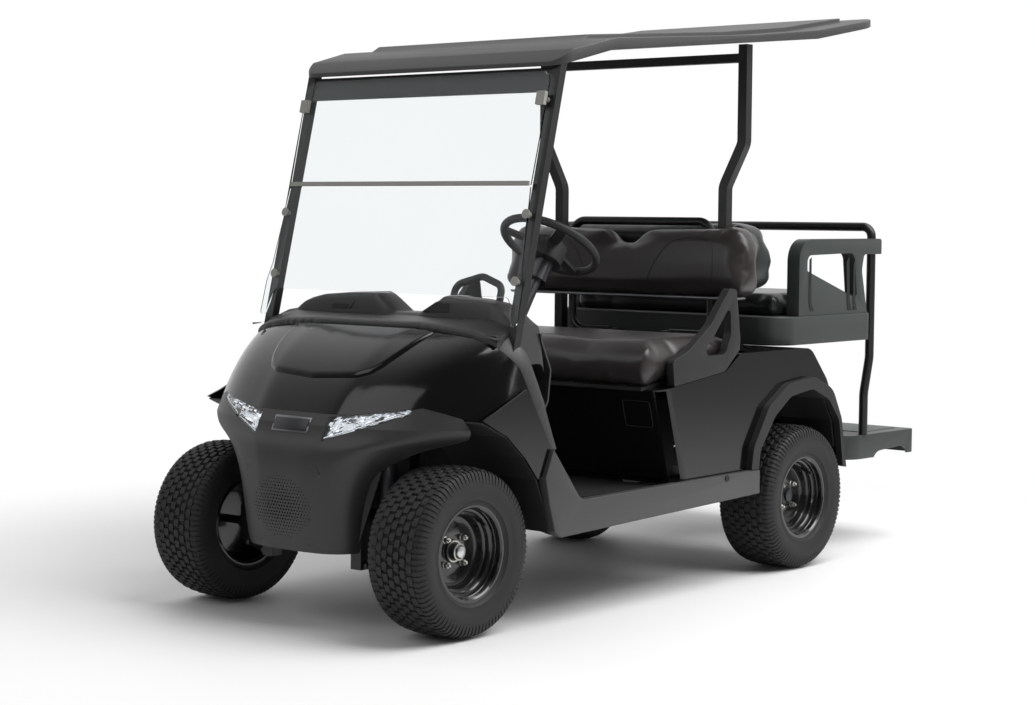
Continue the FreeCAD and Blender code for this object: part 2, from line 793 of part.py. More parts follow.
dash_front = [(126, 867), (158, 826), (208, 759), (243, 651), (278, 592), (302, 560)]


def dash_section(x, drop, wall):
    """One cross-section of the dashboard, its ridge lowered by drop, drawn in by a wall."""
    back = [(320, 560), (380, 650), (392, 745), (350, 880 - drop), (336, 948 - drop), (300, 955 - drop),
            (205, 912 - drop)]
    points = inset(dash_front + back, wall) if wall else dash_front + back
    if wall:
        lead = len(dash_front)
        points = [(86, 838)] + [(p[0] - 40, p[1]) for p in points[1:lead]] + points[lead:]
    spots = [Vector(x, at(p[0]), p[1]) for p in points]
    return Part.makePolygon(spots + spots[:1])


def dash_loft(name, wall):
    """The dashboard's form over its width, or the hollow in it."""
    half = dash_half_width - wall
    shoulder = half * 0.73
    spans = ((-half, 62), (-shoulder, 10), (0, 0), (shoulder, 10), (half, 62))
    return solid(name, Part.makeLoft([dash_section(x, drop, wall) for x, drop in spans], True, True))


dash_outer = dash_loft("dash_outer", 0)
dash_room = dash_loft("dash_room", dash_wall)


def strut_y(z):
    """Where the front strut's middle line is at a height."""
    foot_z = brace_z + brace_size
    return strut_foot_y + (strut_head_y - strut_foot_y) * (z - foot_z) / (strut_head_z - foot_z)


half_depth = strut_depth / 2
foot_z = brace_z + brace_size + seam
strut_hole = side_piece("strut_hole", [(strut_y(foot_z) - half_depth - 2, foot_z), (strut_y(foot_z) + half_depth + 2, foot_z),
                                       (strut_y(1000) + half_depth + 2, 1000), (strut_y(1000) - half_depth - 2, 1000)],
                        strut_x - strut_width / 2 - 2, strut_x + strut_width / 2 + 2)
dash_shell = cut("dash_shell", dash_outer, fuse("dash_voids", [dash_room, both("strut_holes", strut_hole)]))
node(dash_shell, "dashboard")


toe_top = 559.6
mat_top = floor_z + mat_thickness
floor_side = rocker_inner - seam
field_height = 3
field_side = 60
floor_field = plan_piece("floor_field", [(-floor_side + field_side, 552, 20), (floor_side - field_side, 552, 20),
                                         (floor_side - field_side, 926, 20), (-floor_side + field_side, 926, 20)],
                         mat_top - 1, mat_top + field_height)
floor_sheet = side_piece("floor_sheet", [(pod_front_bottom + 30, floor_z), (pod_front_bottom + 30, floor_z + 4),
                                (pod_front_bottom + 6, floor_z + 4), (pod_front_bottom + 6, mat_top),
                                (mat_front + 46, mat_top), (318, toe_top), (300, toe_top),
                                (mat_front + 34, floor_z)], -floor_side, floor_side)
node(fuse("floor_whole", [floor_sheet, floor_field]), "floor_mat")
rocker_outline = [(272, 440), (290.8, 358), (317, 275), (344, 256, 8), (1393, 285), (1393, 366, 8),
                  (440, 358, 50), (308, 520)]
pair("rocker_panels", cut("rocker_tucked", side_piece("rocker", rocker_outline, rocker_inner, body_half_width),
                          box("rocker_step", rocker_inner - 1, pod_half_width + seam, 940, 1400, 351.6, 380)))


# Front wheel liners and rear body


def strip(name, edge, thickness, x_low, x_high):
    """A bent strip under an edge line, padded along X."""
    inner = []
    for i in range(len(edge)):
        a = Vector(*edge[max(i - 1, 0)], 0)
        b = Vector(*edge[min(i + 1, len(edge) - 1)], 0)
        along = (b - a).normalize()
        inner.append((edge[i][0] + along.y * thickness, edge[i][1] - along.x * thickness))
    return side_piece(name, list(edge) + inner[::-1], x_low, x_high)


liner_edge = [(12, 616), (114, 570), (193, 504), (252, 437), (287, 360), (312, 275)]
front_liner = strip("front_liner", liner_edge, 4, outside + 61, body_half_width - 21 - seam)
arch = [(1381, 366), (1392, 430), (1478, 540), (1574, 600), (1708, 618), (1813, 576), (1869, 494), (1890, 400)]
rear_liner = strip("rear_liner", arch, 4, 360, pod_half_width + seam)
flare = side_piece("flare", [(1340, 367), (1352, 440, 60), (1440, 570, 60), (1560, 640, 90), (1720, 656, 90),
                             (1840, 606, 90), (1900, 500, 60), (1936, 326), (1912, 332), (1884, 494, 60),
                             (1813, 572, 60), (1708, 614, 60), (1574, 596, 60), (1478, 536, 60), (1392, 428, 40),
                             (1383, 367)],
                   pod_half_width + seam, body_half_width + 2)
pair("wheel_liners", group("liners", [front_liner, fuse("rear_liner_whole", [rear_liner, flare])]))

pod_slope = 0.119
recess_back = 1402
recess_x = cushion_half_width + 8


def pod_line(y):
    """Height of the seat shelf's top at a distance from the front axle."""
    return pod_top + (y - pod_front_top) * pod_slope


rear_panel_y = 1925
body_outline = [(pod_front_bottom, 352), (pod_front_top, pod_top), (1215, pod_line(1215), 40),
                (1300, deck_z, 30), (1730, deck_z, 70), (1835, 640, 80), (1925, 480, 60), (1945, 352)]
shell_outer = side_piece("shell_outer", body_outline, -pod_half_width, pod_half_width)
fillet(shell_outer, lambda e: abs(e.BoundBox.XLength) < 1 and e.BoundBox.YMax < at(pod_front_bottom) + 1
       and e.BoundBox.ZLength > 200, 55)
body_cuts = [side_piece("shell_room", [(pod_front_bottom + skin, 300), (pod_front_bottom + skin, 352),
                                       (pod_front_top + skin + 2, pod_top - skin), (1215, pod_line(1215) - skin),
                                       (1300, deck_z - skin), (1722, deck_z - skin), (1828, 637), (1919, 478),
                                       (1938, 352), (1938, 300)], -pod_half_width + skin, pod_half_width - skin),
             side_piece("seat_recess", [(pod_front_top - 30, pod_line(pod_front_top - 30) + seam),
                                        (recess_back, pod_line(recess_back)), (recess_back, 900),
                                        (pod_front_top - 30, 900)], -recess_x, recess_x)]
bay_half = cushion_half_width - 88
bay_hole = box("bay_hole", -bay_half, bay_half, 930, 1290, 500, 800)
arch_hole = side_piece("arch_hole", [(1376, 300), (1376, 366)] + [(p[0], p[1] + 4.5) for p in arch[1:]] +
                       [(1900, 400), (1914, 300)], -wide, wide)
tray = side_piece("seat_tray", [(1215, pod_line(1215) - 6), (recess_back + 6, pod_line(recess_back + 6) - 6),
                                (recess_back + 6, deck_z - 2), (recess_back, deck_z - 2),
                                (recess_back, pod_line(recess_back)), (1215, pod_line(1215))],
                  -recess_x - 6, recess_x + 6)
shelf = side_piece("seat_shelf", [(pod_front_top + 8, pod_line(pod_front_top + 8) - 6), (1216, pod_line(1216) - 6),
                                  (1216, pod_line(1216)), (pod_front_top + 8, pod_line(pod_front_top + 8))],
                   -recess_x - 6, recess_x + 6)
rail_slot = box("rail_slot", inside - 4, outside + 4, 1880, 1960, 300, kick_high + 4)
rail_slots = group("rail_slots", [rail_slot, mirrored("rail_slot_right", rail_slot)])
body_shell = cut("body_shell", shell_outer, fuse("body_cuts", body_cuts))
hinge_y = 1352
hinge_z = 742
hinge_x = cushion_half_width - 76
bracket = side_piece("hinge_bracket", [(recess_back + 2, hinge_z - 15), (recess_back + 2, hinge_z + 8),
                                       (hinge_y, hinge_z + 11, 9), (hinge_y - 11, hinge_z, 9),
                                       (hinge_y, hinge_z - 11, 9)], hinge_x, hinge_x + 8)
pin = rod("hinge_pin", (hinge_x - 16, hinge_y, hinge_z), (hinge_x + 8, hinge_y, hinge_z), 5)
seat_hinge = fuse("seat_hinge", [bracket, pin])
body_tray = fuse("body_tray", [body_shell, tray, shelf, seat_hinge, mirrored("seat_hinge_right", seat_hinge)])
node(cut("rear_body_whole", body_tray, fuse("body_holes", [bay_hole, arch_hole, rail_slots])), "rear_body")
pair("tail_lamps", side_piece("tail_lamp", [(1934.7, 420), (1946, 421.7, 4), (1938.2, 471.7, 4), (1926.9, 470)],
                              body_half_width - 150, body_half_width - 70))


# Canopy: roof, struts and windshield

roof_low = [(383, 1634), (610, 1696), (1351, 1760), (1734, 1802), (2190, 1884)]


def roof_under(y):
    """Height of the roof's underside at a distance from the front axle."""
    for low, high in zip(roof_low, roof_low[1:]):
        if low[0] <= y <= high[0]:
            return low[1] + (high[1] - low[1]) * (y - low[0]) / (high[0] - low[0])
    raise ValueError(y)


roof_side = side_piece("roof_side", roof_low + [(2190, 1908), (1734, 1832), (1351, 1790), (610, 1730),
                                                (440, 1688), (383, 1646)], -wide, wide)
roof_plan = plan_piece("roof_plan", [(-535, 386, 60), (535, 386, 60), (roof_half_width, 640, 200),
                                     (roof_half_width, 2080, 200), (500, 2190, 80), (-500, 2190, 80),
                                     (-roof_half_width, 2080, 200), (-roof_half_width, 640, 200)], 1500, 2000)
panel_side = side_piece("panel_side", [(560, 1700), (1351, 1765), (1734, 1806), (2090, 1860), (2090, 1905),
                                       (1734, 1848), (1351, 1806), (640, 1748)], -440, 440)
node(fuse("roof_whole", [common("roof_slab", [roof_side, roof_plan]), panel_side]), "roof")


def strut_end(offset):
    """(y, z) where a face of the front strut, offset along Y, meets the roof's underside."""
    z = strut_head_z
    for i in range(5):
        z = roof_under(strut_y(z) + offset) - seam
    return (strut_y(z) + offset, z)


strut = side_piece("front_strut", [(strut_y(foot_z) - half_depth, foot_z), (strut_y(foot_z) + half_depth, foot_z),
                                   strut_end(half_depth), strut_end(-half_depth)],
                   strut_x - strut_width / 2, strut_x + strut_width / 2)
header = side_piece("header", [(strut_y(1560) - 9, 1560), (strut_y(1560) + 9, 1560), (strut_y(1632) + 9, 1632),
                               (strut_y(1632) - 9, 1632)], -strut_x + strut_width / 2 - 2,
                    strut_x - strut_width / 2 + 2)
node(fuse("front_hoop_whole", [strut, mirrored("front_strut_right", strut), header]), "front_hoop")

rear_strut = square_bar("rear_strut", [(rear_strut_x, rear_strut_y, deck_z + 8), (rear_strut_x, rear_strut_y, rear_strut_low_bend),
                                       (rear_strut_head_x, rear_strut_y, rear_strut_high_bend),
                                       (rear_strut_head_x, rear_strut_y, roof_under(rear_strut_y) - 2.4)],
                        60, rear_strut_size)
strut_base = box("strut_base", rear_strut_x - 32, rear_strut_x + 32, rear_strut_y - 32, rear_strut_y + 32,
                 deck_z + seam, deck_z + 9)
rear_bar = box("rear_header", -rear_strut_head_x + 15, rear_strut_head_x - 15, rear_strut_y - 14, rear_strut_y + 14,
               1715, 1745)
half_hoop = fuse("rear_hoop_half", [rear_strut, strut_base])
node(fuse("rear_hoop_whole", [half_hoop, mirrored("rear_hoop_right", half_hoop), rear_bar]), "rear_hoop")

pane_back = half_depth + pane_gap


def pane(name, outline, z_low, z_high):
    """A clear sheet parallel to the front struts, from an outline in (X, height)."""
    slab = side_piece(name + "_slab", [(strut_y(z_low) - pane_back - pane_thickness, z_low),
                                       (strut_y(z_low) - pane_back, z_low), (strut_y(z_high) - pane_back, z_high),
                                       (strut_y(z_high) - pane_back - pane_thickness, z_high)], -wide, wide)
    return common(name, [slab, front_piece(name + "_outline", outline, 100, 500)])




def both_sides(points):
    """An outline from its left half, whose points run from the bottom's middle to the top's."""
    return points + [(-p[0],) + tuple(p[1:]) for p in points[::-1]]


wing = pane_half_width + 16
low_pane = pane("low_pane", both_sides([(wing - 48, 960, 20), (wing - 21, 872, 12), (wing, 880, 14), (wing - 3, 985, 30),
                                        (pane_half_width, 1040, 60), (pane_half_width - 20, 1281, 5)]), 860, 1285)
high_pane = pane("high_pane", both_sides([(pane_half_width - 20, 1285, 5), (pane_half_width - 14, 1600, 30),
                                          (pane_half_width - 40, 1622, 30)]), 1283, 1625)
node(group("panes", [low_pane, high_pane]), "windshield_panes")

lean = math.atan2(strut_head_y - strut_foot_y, strut_head_z - foot_z)
glass_back = pane_back * math.cos(lean)
glass_front = (pane_back + pane_thickness) * math.cos(lean)
strut_face = half_depth * math.cos(lean)


def off_strut(z, along, out):
    """(y, z) of a point along the front strut and out in front of its middle line."""
    return (strut_y(z) + along * math.sin(lean) - out * math.cos(lean),
            z + along * math.cos(lean) + out * math.sin(lean))


def stand_off(name, x, z, low, high, radius):
    """A round piece square to the windshield between two distances in front of the strut."""
    return rod(name, (x,) + off_strut(z, 0, low), (x,) + off_strut(z, 0, high), radius)


def lean_block(name, x_low, x_high, z, length, low, high):
    """A block that lies along the windshield between two distances in front of the strut."""
    corners = [(-length / 2, low), (-length / 2, high), (length / 2, high), (length / 2, low)]
    return side_piece(name, [off_strut(z, along, out) for along, out in corners], x_low, x_high)


fittings = []
for i, z in enumerate((1000, 1195)):
    fittings.append(stand_off("spacer%d" % i, strut_x - 8, z, strut_face + running_gap, glass_back - running_gap, 9))
    fittings.append(stand_off("washer%d" % i, strut_x - 8, z, glass_front + running_gap, glass_front + 4, 14))
fittings.append(lean_block("clip_front", strut_x - 34, strut_x - 2, 1532, 40, glass_front + running_gap, glass_front + 14))
fittings.append(stand_off("clip_pad", strut_x - 10, 1532, strut_face + running_gap, glass_back - running_gap, 7))
left_fittings = group("left_fittings", fittings)
rail_half = pane_half_width - 24
hinge_rail = lean_block("hinge_rail", -rail_half, rail_half, hinge_rail_z, 13, glass_front + running_gap, glass_front + 8)
node(group("fittings", [left_fittings, mirrored("right_fittings", left_fittings), hinge_rail]),
     "windshield_fittings")


# Steering column, wheel, handle and pedals

wheel_x = 280
column_way = Vector(0, 0.555, 0.832)
wheel_centre = Vector(wheel_x, 662, 1105)


def on_column(distance):
    """A point on the column line, at a distance below the wheel's centre, y from the front axle."""
    spot = wheel_centre - column_way * distance
    return (spot.x, spot.y, spot.z)


hub_depth = 58
column_rod = rod("column_rod", on_column(560), on_column(hub_depth + running_gap), 19)
column_head = rod("column_head", on_column(130), on_column(hub_depth + running_gap), 34)
node(cut("column_whole", fuse("column_joined", [column_rod, column_head]), dash_outer), "steering_column")

wheel_radius = 152
grip = doc.addObject("Part::Torus", "grip")
grip.Radius1 = wheel_radius
grip.Radius2 = 13
spokes = []
for i, angle in enumerate((0, 130, 230)):
    a = math.radians(angle + 90)
    spoke = doc.addObject("Part::Box", "spoke%d" % i)
    spoke.Length = wheel_radius
    spoke.Width = 34
    spoke.Height = 10
    spoke.Placement = Placement(Vector(17 * math.sin(a), -17 * math.cos(a), -12), Rotation(Vector(0, 0, 1), math.degrees(a)))
    spokes.append(spoke)
hub = doc.addObject("Part::Cylinder", "wheel_hub")
hub.Radius = 56
hub.Height = hub_depth + 4
hub.Placement = Placement(Vector(0, 0, -hub_depth), Rotation())
wheel = fuse("steering_wheel_whole", [grip, hub] + spokes)
wheel.Placement = Placement(Vector(wheel_x, at(wheel_centre.y), wheel_centre.z), Rotation(Vector(0, 0, 1), column_way))
node(wheel, "steering_wheel")

handle = tube("handle", [(150, 340, 890), (150, 372, 985), (240, 392, 1012), (335, 372, 985), (335, 340, 890)], 34, 11)
node(cut("handle_whole", handle, dash_outer), "dash_grab_handle")
node(group("pedal_pair", [
    side_piece("brake", [(500, mat_top + seam), (530, mat_top + seam), (452, 470), (432, 460)], 190, 262),
    side_piece("throttle", [(500, mat_top + seam), (530, mat_top + seam), (452, 470), (432, 460)], 300, 346)]),
    "pedals")


# Seats

board_top = 12
board = side_piece("board", [(pod_front_top - 24, pod_line(pod_front_top - 24) + 0.8), (cushion_rear - 30, pod_line(cushion_rear - 30) + 0.8),
                             (cushion_rear - 30, pod_line(cushion_rear - 30) + board_top),
                             (pod_front_top - 24, pod_line(pod_front_top - 24) + board_top)],
                   -cushion_half_width + 20, cushion_half_width - 20)
lug = side_piece("board_lug", [(cushion_rear - 40, pod_line(cushion_rear - 40) + 0.8), (hinge_y, hinge_z - 22),
                               (hinge_y + 11, hinge_z, 9), (hinge_y, hinge_z + 11, 9), (hinge_y - 14, hinge_z, 9),
                               (cushion_rear - 40, pod_line(cushion_rear - 40) + board_top)],
                 hinge_x - 12, hinge_x - 2)
lug_hole = rod("lug_hole", (hinge_x - 22, hinge_y, hinge_z), (hinge_x + 8, hinge_y, hinge_z),
               5 + running_gap)
lug_bored = cut("lug_bored", lug, lug_hole)
node(fuse("board_whole", [board, lug_bored, mirrored("lug_right", lug_bored)]), "seat_board")
cushion = side_piece("cushion", [(cushion_front, pod_line(pod_front_top) + board_top + 0.6, 40),
                                 (pod_front_top, pod_line(pod_front_top) + board_top + 0.6),
                                 (cushion_rear - 30, pod_line(cushion_rear - 30) + board_top + 0.6, 20),
                                 (cushion_rear - 22, 806, 40), (cushion_front + 12, cushion_top, 45)],
                     -cushion_half_width, cushion_half_width)
node(cushion, "seat_cushion")

back_outline = [(-back_half_width, back_bottom, 45), (back_half_width, back_bottom, 45),
                (back_half_width, 1100, 60), (back_half_width - 40, back_top - 4, 60), (100, back_top, 50),
                (40, back_top - 42, 35), (-40, back_top - 42, 35), (-100, back_top, 50),
                (-back_half_width + 40, back_top - 4, 60), (-back_half_width, 1100, 60)]
frame_front = rear_strut_y - rear_strut_size / 2
node(common("back_whole", [front_piece("back_face", back_outline, 1300, 1600),
                           side_piece("back_side", [(back_front, back_bottom + 4, 30), (frame_front - seam, back_bottom),
                                                    (frame_front - seam, back_top + 6),
                                                    (back_front + 44, back_top + 6, 30)], -wide, wide)]), "seat_back")
frame_rear = rear_strut_y + rear_strut_size / 2
rear_back_outline = [(-rear_back_half_width + 30, rear_back_bottom, 40), (rear_back_half_width - 30, rear_back_bottom, 40),
                     (rear_back_half_width, 1060, 80), (rear_back_half_width - 50, rear_back_top, 50),
                     (-rear_back_half_width + 50, rear_back_top, 50), (-rear_back_half_width, 1060, 80)]
node(common("rear_back_whole", [front_piece("rear_back_face", rear_back_outline, 1500, 1800),
                                side_piece("rear_back_side", [(frame_rear + seam, rear_back_bottom),
                                                              (rear_back_rear, rear_back_bottom, 40),
                                                              (rear_back_rear - 30, rear_back_top + 2, 40),
                                                              (frame_rear + seam, rear_back_top + 2)], -wide, wide)]),
     "rear_backrest")

tube_radius = tube_diameter / 2
loop = tube("seat_loop", [(-130, rear_strut_y, loop_bottom), (-loop_x, rear_strut_y, loop_bottom),
                          (-loop_x, rear_strut_y, loop_top - tube_radius), (loop_x, rear_strut_y, loop_top - tube_radius),
                          (loop_x, rear_strut_y, loop_bottom), (130, rear_strut_y, loop_bottom)], 55, tube_radius)
loop_foot = box("loop_foot", 100, 150, rear_strut_y - 24, rear_strut_y + 24, deck_z + seam, loop_bottom + 8)
tub_post = box("tub_post", 285, 315, 1660, 1690, deck_z + seam, tub_bottom + 90 - 8 - seam)

hip = side_piece("hip", [(935, pod_line(935) + 1), (1214, pod_line(1214) + 1, 30), (1298, deck_z + 14), (1300, deck_z + 50, 10),
                         (1275, 962, 14), (1236, 966, 16), (1130, 850, 90), (1010, 772, 90), (925, 745, 14)],
                 recess_x + 2, pod_half_width - 1)
hip_window = side_piece("hip_window", [(1070, 752, 20), (1215, 752, 22), (1246, 820, 30), (1240, 912, 12),
                                       (1150, 815, 70)], recess_x, pod_half_width + 5)
pair("hip_restraints", cut("hip_open", hip, hip_window))


# Rear seat kit

tub_outline = [(-tub_half_width, tub_front, 95), (-tub_half_width, tub_rear, 25), (tub_half_width, tub_rear, 25),
               (tub_half_width, tub_front, 95)]
tub_wall = 8
tub_outer = plan_piece("tub_outer", tub_outline, tub_bottom, tub_top)
tub_room = plan_piece("tub_room", inset(tub_outline, tub_wall), tub_bottom - 10, tub_top - tub_wall)
node(cut("tub_whole", tub_outer, tub_room), "rear_seat_tub")
rear_cushion_back = tub_rear - 25
node(plan_piece("rear_cushion_pad", [(-rear_cushion_half_width, 1690, 30), (-rear_cushion_half_width, rear_cushion_back, 50),
                                 (rear_cushion_half_width, rear_cushion_back, 50), (rear_cushion_half_width, 1690, 30)],
                tub_top + seam, rear_cushion_top), "rear_seat_cushion")

grab_radius = 16
armrest = side_piece("armrest", [(1745, tub_top + seam), (2200, tub_top + seam), (2160, 1010, 60), (2175, 1066, 15),
                                 (grab_y + 24, 1066, 6), (grab_y + 24, armrest_top, 12), (1745, armrest_top, 75)],
                     grab_x - armrest_width / 2 + 4, grab_x + armrest_width / 2 + 4)
arm_window = side_piece("arm_window", [(1796, 1066, 25), (1796, 1012, 8), (2130, 908, 14), (2108, 1072, 30)],
                        300, 600)
post_hole = rod("post_hole", (grab_x, grab_y, 900), (grab_x, grab_y, 1300), grab_radius + running_gap)
pair("rear_armrests", cut("armrest_open", armrest, fuse("armrest_cuts", [arm_window, post_hole])))

plate_bottom = kick_high
plate_top = plate_bottom + plate_wall
half_grab = [(grab_x, grab_y - 35, plate_top + seam), (grab_x, grab_y - 35, 560), (grab_x, grab_y, 690),
             (grab_x, grab_y, grab_top - grab_radius, 36)]
grab = tube("grab_bar", half_grab + [(-p[0],) + p[1:] for p in half_grab[::-1]], 90, grab_radius)
node(group("seat_frame_whole", [fuse("loop_joined", [loop, loop_foot, mirrored("loop_foot_right", loop_foot)]),
                                tub_post, mirrored("tub_post_right", tub_post), grab]), "rear_kit_frame")

plate_outline = [(-plate_half_width + 20, plate_front, 90), (-plate_half_width, plate_rear, 20),
                 (plate_half_width, plate_rear, 20), (plate_half_width - 20, plate_front, 90)]
plate_outer = plan_piece("plate_outer", plate_outline, plate_top - plate_skirt, plate_top)
plate_room = plan_piece("plate_room", inset(plate_outline, 7), plate_top - plate_skirt - 10, plate_bottom)
rail_notch = box("rail_notch", -outside - 3, outside + 3, plate_front - 10, plate_front + 30,
                 plate_top - plate_skirt - 10, plate_bottom)
side_scoop = side_piece("side_scoop", [(2270, 200), (2530, 200), (2530, 352, 50), (2300, 340, 60)], -600, 600)
plate_field_half = plate_half_width - 60
plate_field = plan_piece("plate_field", both_sides([(plate_field_half, plate_rear - 26, 25),
                                                    (plate_field_half, grab_y + 26, 25)]),
                         plate_top - 1, plate_top + field_height)
plate_shell = cut("plate_shell", plate_outer, fuse("plate_cuts", [plate_room, side_scoop, rail_notch]))
node(fuse("plate_whole", [plate_shell, plate_field]), "footplate")


def finish():
    """Recomputes, checks every object and writes each node to its file."""
    doc.recompute()
    faults = []
    for thing in doc.Objects:
        if "Invalid" in thing.State or "Error" in thing.State:
            faults.append(thing.Name)
    for thing in nodes:
        if thing.Shape.isNull() or not thing.Shape.isValid():
            faults.append(thing.Label)
    if faults:
        raise RuntimeError("not sound: " + ", ".join(faults))
    os.makedirs("parts", exist_ok=True)
    for thing in nodes:
        thing.Shape.exportStep("parts/%s.step" % thing.Label)


finish()
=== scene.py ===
"""Dresses a four-seat electric golf cart: finishes, tyres, cushions, lamps and trim round its frame."""

import logging
import math
from collections.abc import Callable, Sequence
from dataclasses import dataclass
from enum import Enum

import bpy
from mathutils import Matrix, Vector


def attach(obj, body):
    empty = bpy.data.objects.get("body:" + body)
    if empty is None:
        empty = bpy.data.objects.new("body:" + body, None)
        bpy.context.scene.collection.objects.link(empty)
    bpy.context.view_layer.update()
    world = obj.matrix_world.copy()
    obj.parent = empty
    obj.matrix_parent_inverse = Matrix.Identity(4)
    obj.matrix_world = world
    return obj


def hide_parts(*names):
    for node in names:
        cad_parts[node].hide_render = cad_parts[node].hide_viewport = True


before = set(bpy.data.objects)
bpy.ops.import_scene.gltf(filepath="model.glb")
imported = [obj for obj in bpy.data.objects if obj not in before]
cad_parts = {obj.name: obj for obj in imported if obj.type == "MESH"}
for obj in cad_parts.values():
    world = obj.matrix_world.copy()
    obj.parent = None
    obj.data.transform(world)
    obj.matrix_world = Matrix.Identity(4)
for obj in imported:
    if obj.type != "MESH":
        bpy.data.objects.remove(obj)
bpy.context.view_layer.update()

log = logging.getLogger("golf_cart")

MM = 0.001
# The front axle's Y in the frame, in millimetres.
AXLE_Y = -1175.0
AXLE_WAY = Vector((1, 0, 0))
REARWARD = Vector((0, 1, 0))
# Rays onto the nose start here, well ahead of it: a distance behind the front axle.
AHEAD = -600.0

Point = Sequence[float]
Flat = tuple[float, float]
Thing = bpy.types.Object


class Hand(Enum):
    """The cart's two sides, as the sign of X."""

    LEFT = 1
    RIGHT = -1


def spot(x: float, y: float, z: float) -> Vector:
    """A place in metres from X, distance behind the front axle and height, in millimetres."""
    return Vector((x, y + AXLE_Y, z)) * MM


def from_front(thing: Thing, x: float, z: float) -> tuple[bool, Vector, Vector]:
    """Casts a ray rearward onto a piece from ahead of the nose.

    Args:
        thing: The piece.
        x: The ray's X, in millimetres.
        z: Its height.

    Returns:
        Whether it hits, and the place and the normal there.
    """
    hit, place, normal, _ = thing.ray_cast(spot(x, AHEAD, z), REARWARD)
    return hit, place, normal


def height_on(chain: Sequence[Flat], x: float) -> float:
    """The height of a chain of (X, height) points at one X, or its first height beyond its ends."""
    for (ax, az), (bx, bz) in zip(chain, chain[1:]):
        if ax <= x <= bx:
            return az + (bz - az) * (x - ax) / (bx - ax)
    return chain[0][1]


def nearest_gap(point: Flat, chain: Sequence[Flat]) -> float:
    """The distance from a flat point to a chain of straight runs."""
    best = math.inf
    for (ax, az), (bx, bz) in zip(chain, chain[1:]):
        run_x, run_z = bx - ax, bz - az
        share = ((point[0] - ax) * run_x + (point[1] - az) * run_z) / (run_x ** 2 + run_z ** 2)
        share = min(max(share, 0.0), 1.0)
        best = min(best, math.hypot(point[0] - ax - run_x * share, point[1] - az - run_z * share))
    return best


def on_chain(chain: Sequence[Flat], share: float) -> Flat:
    """The point at a share of a chain's length."""
    runs = [math.dist(a, b) for a, b in zip(chain, chain[1:])]
    left = share * sum(runs)
    for (a, b), run in zip(zip(chain, chain[1:]), runs):
        if left <= run:
            return (a[0] + (b[0] - a[0]) * left / run, a[1] + (b[1] - a[1]) * left / run)
        left -= run
    return chain[-1]


def both_sides(half: Sequence[Flat]) -> tuple[Flat, ...]:
    """Mirrors a chain of (X, height) points that starts in the middle."""
    return tuple((-x, z) for x, z in half[:0:-1]) + tuple(half)


def linear(code: str) -> tuple[float, float, float, float]:
    """Turns an sRGB hex colour to linear light.

    Args:
        code: Six hex digits.

    Returns:
        Red, green, blue and an alpha of 1.
    """
    parts = [int(code[i:i + 2], 16) / 255 for i in (0, 2, 4)]
    red, green, blue = (p / 12.92 if p <= 0.04045 else ((p + 0.055) / 1.055) ** 2.4 for p in parts)
    return (red, green, blue, 1.0)


def add_node(tree: bpy.types.NodeTree, kind: str, settings: dict[str, object] | None = None,
             inputs: dict[str | int, object] | None = None) -> bpy.types.Node:
    """Adds a shader node.

    Args:
        tree: The material's node tree.
        kind: The node's type.
        settings: Properties of the node by name.
        inputs: Socket values, or the output sockets that feed them, by name or index.

    Returns:
        The new node.
    """
    node = tree.nodes.new(kind)
    for name, value in (settings or {}).items():
        setattr(node, name, value)
    for name, value in (inputs or {}).items():
        if isinstance(value, bpy.types.NodeSocket):
            tree.links.new(value, node.inputs[name])
        else:
            node.inputs[name].default_value = value
    return node


class Relief(Enum):
    """The small surface form that a finish is moulded, cast, sprayed or grained with."""

    SPRAYED = "sprayed"
    MOULDED = "moulded"
    CAST = "cast"
    LEATHER = "leather"
    TURNED = "turned"
    PLAIN = "plain"


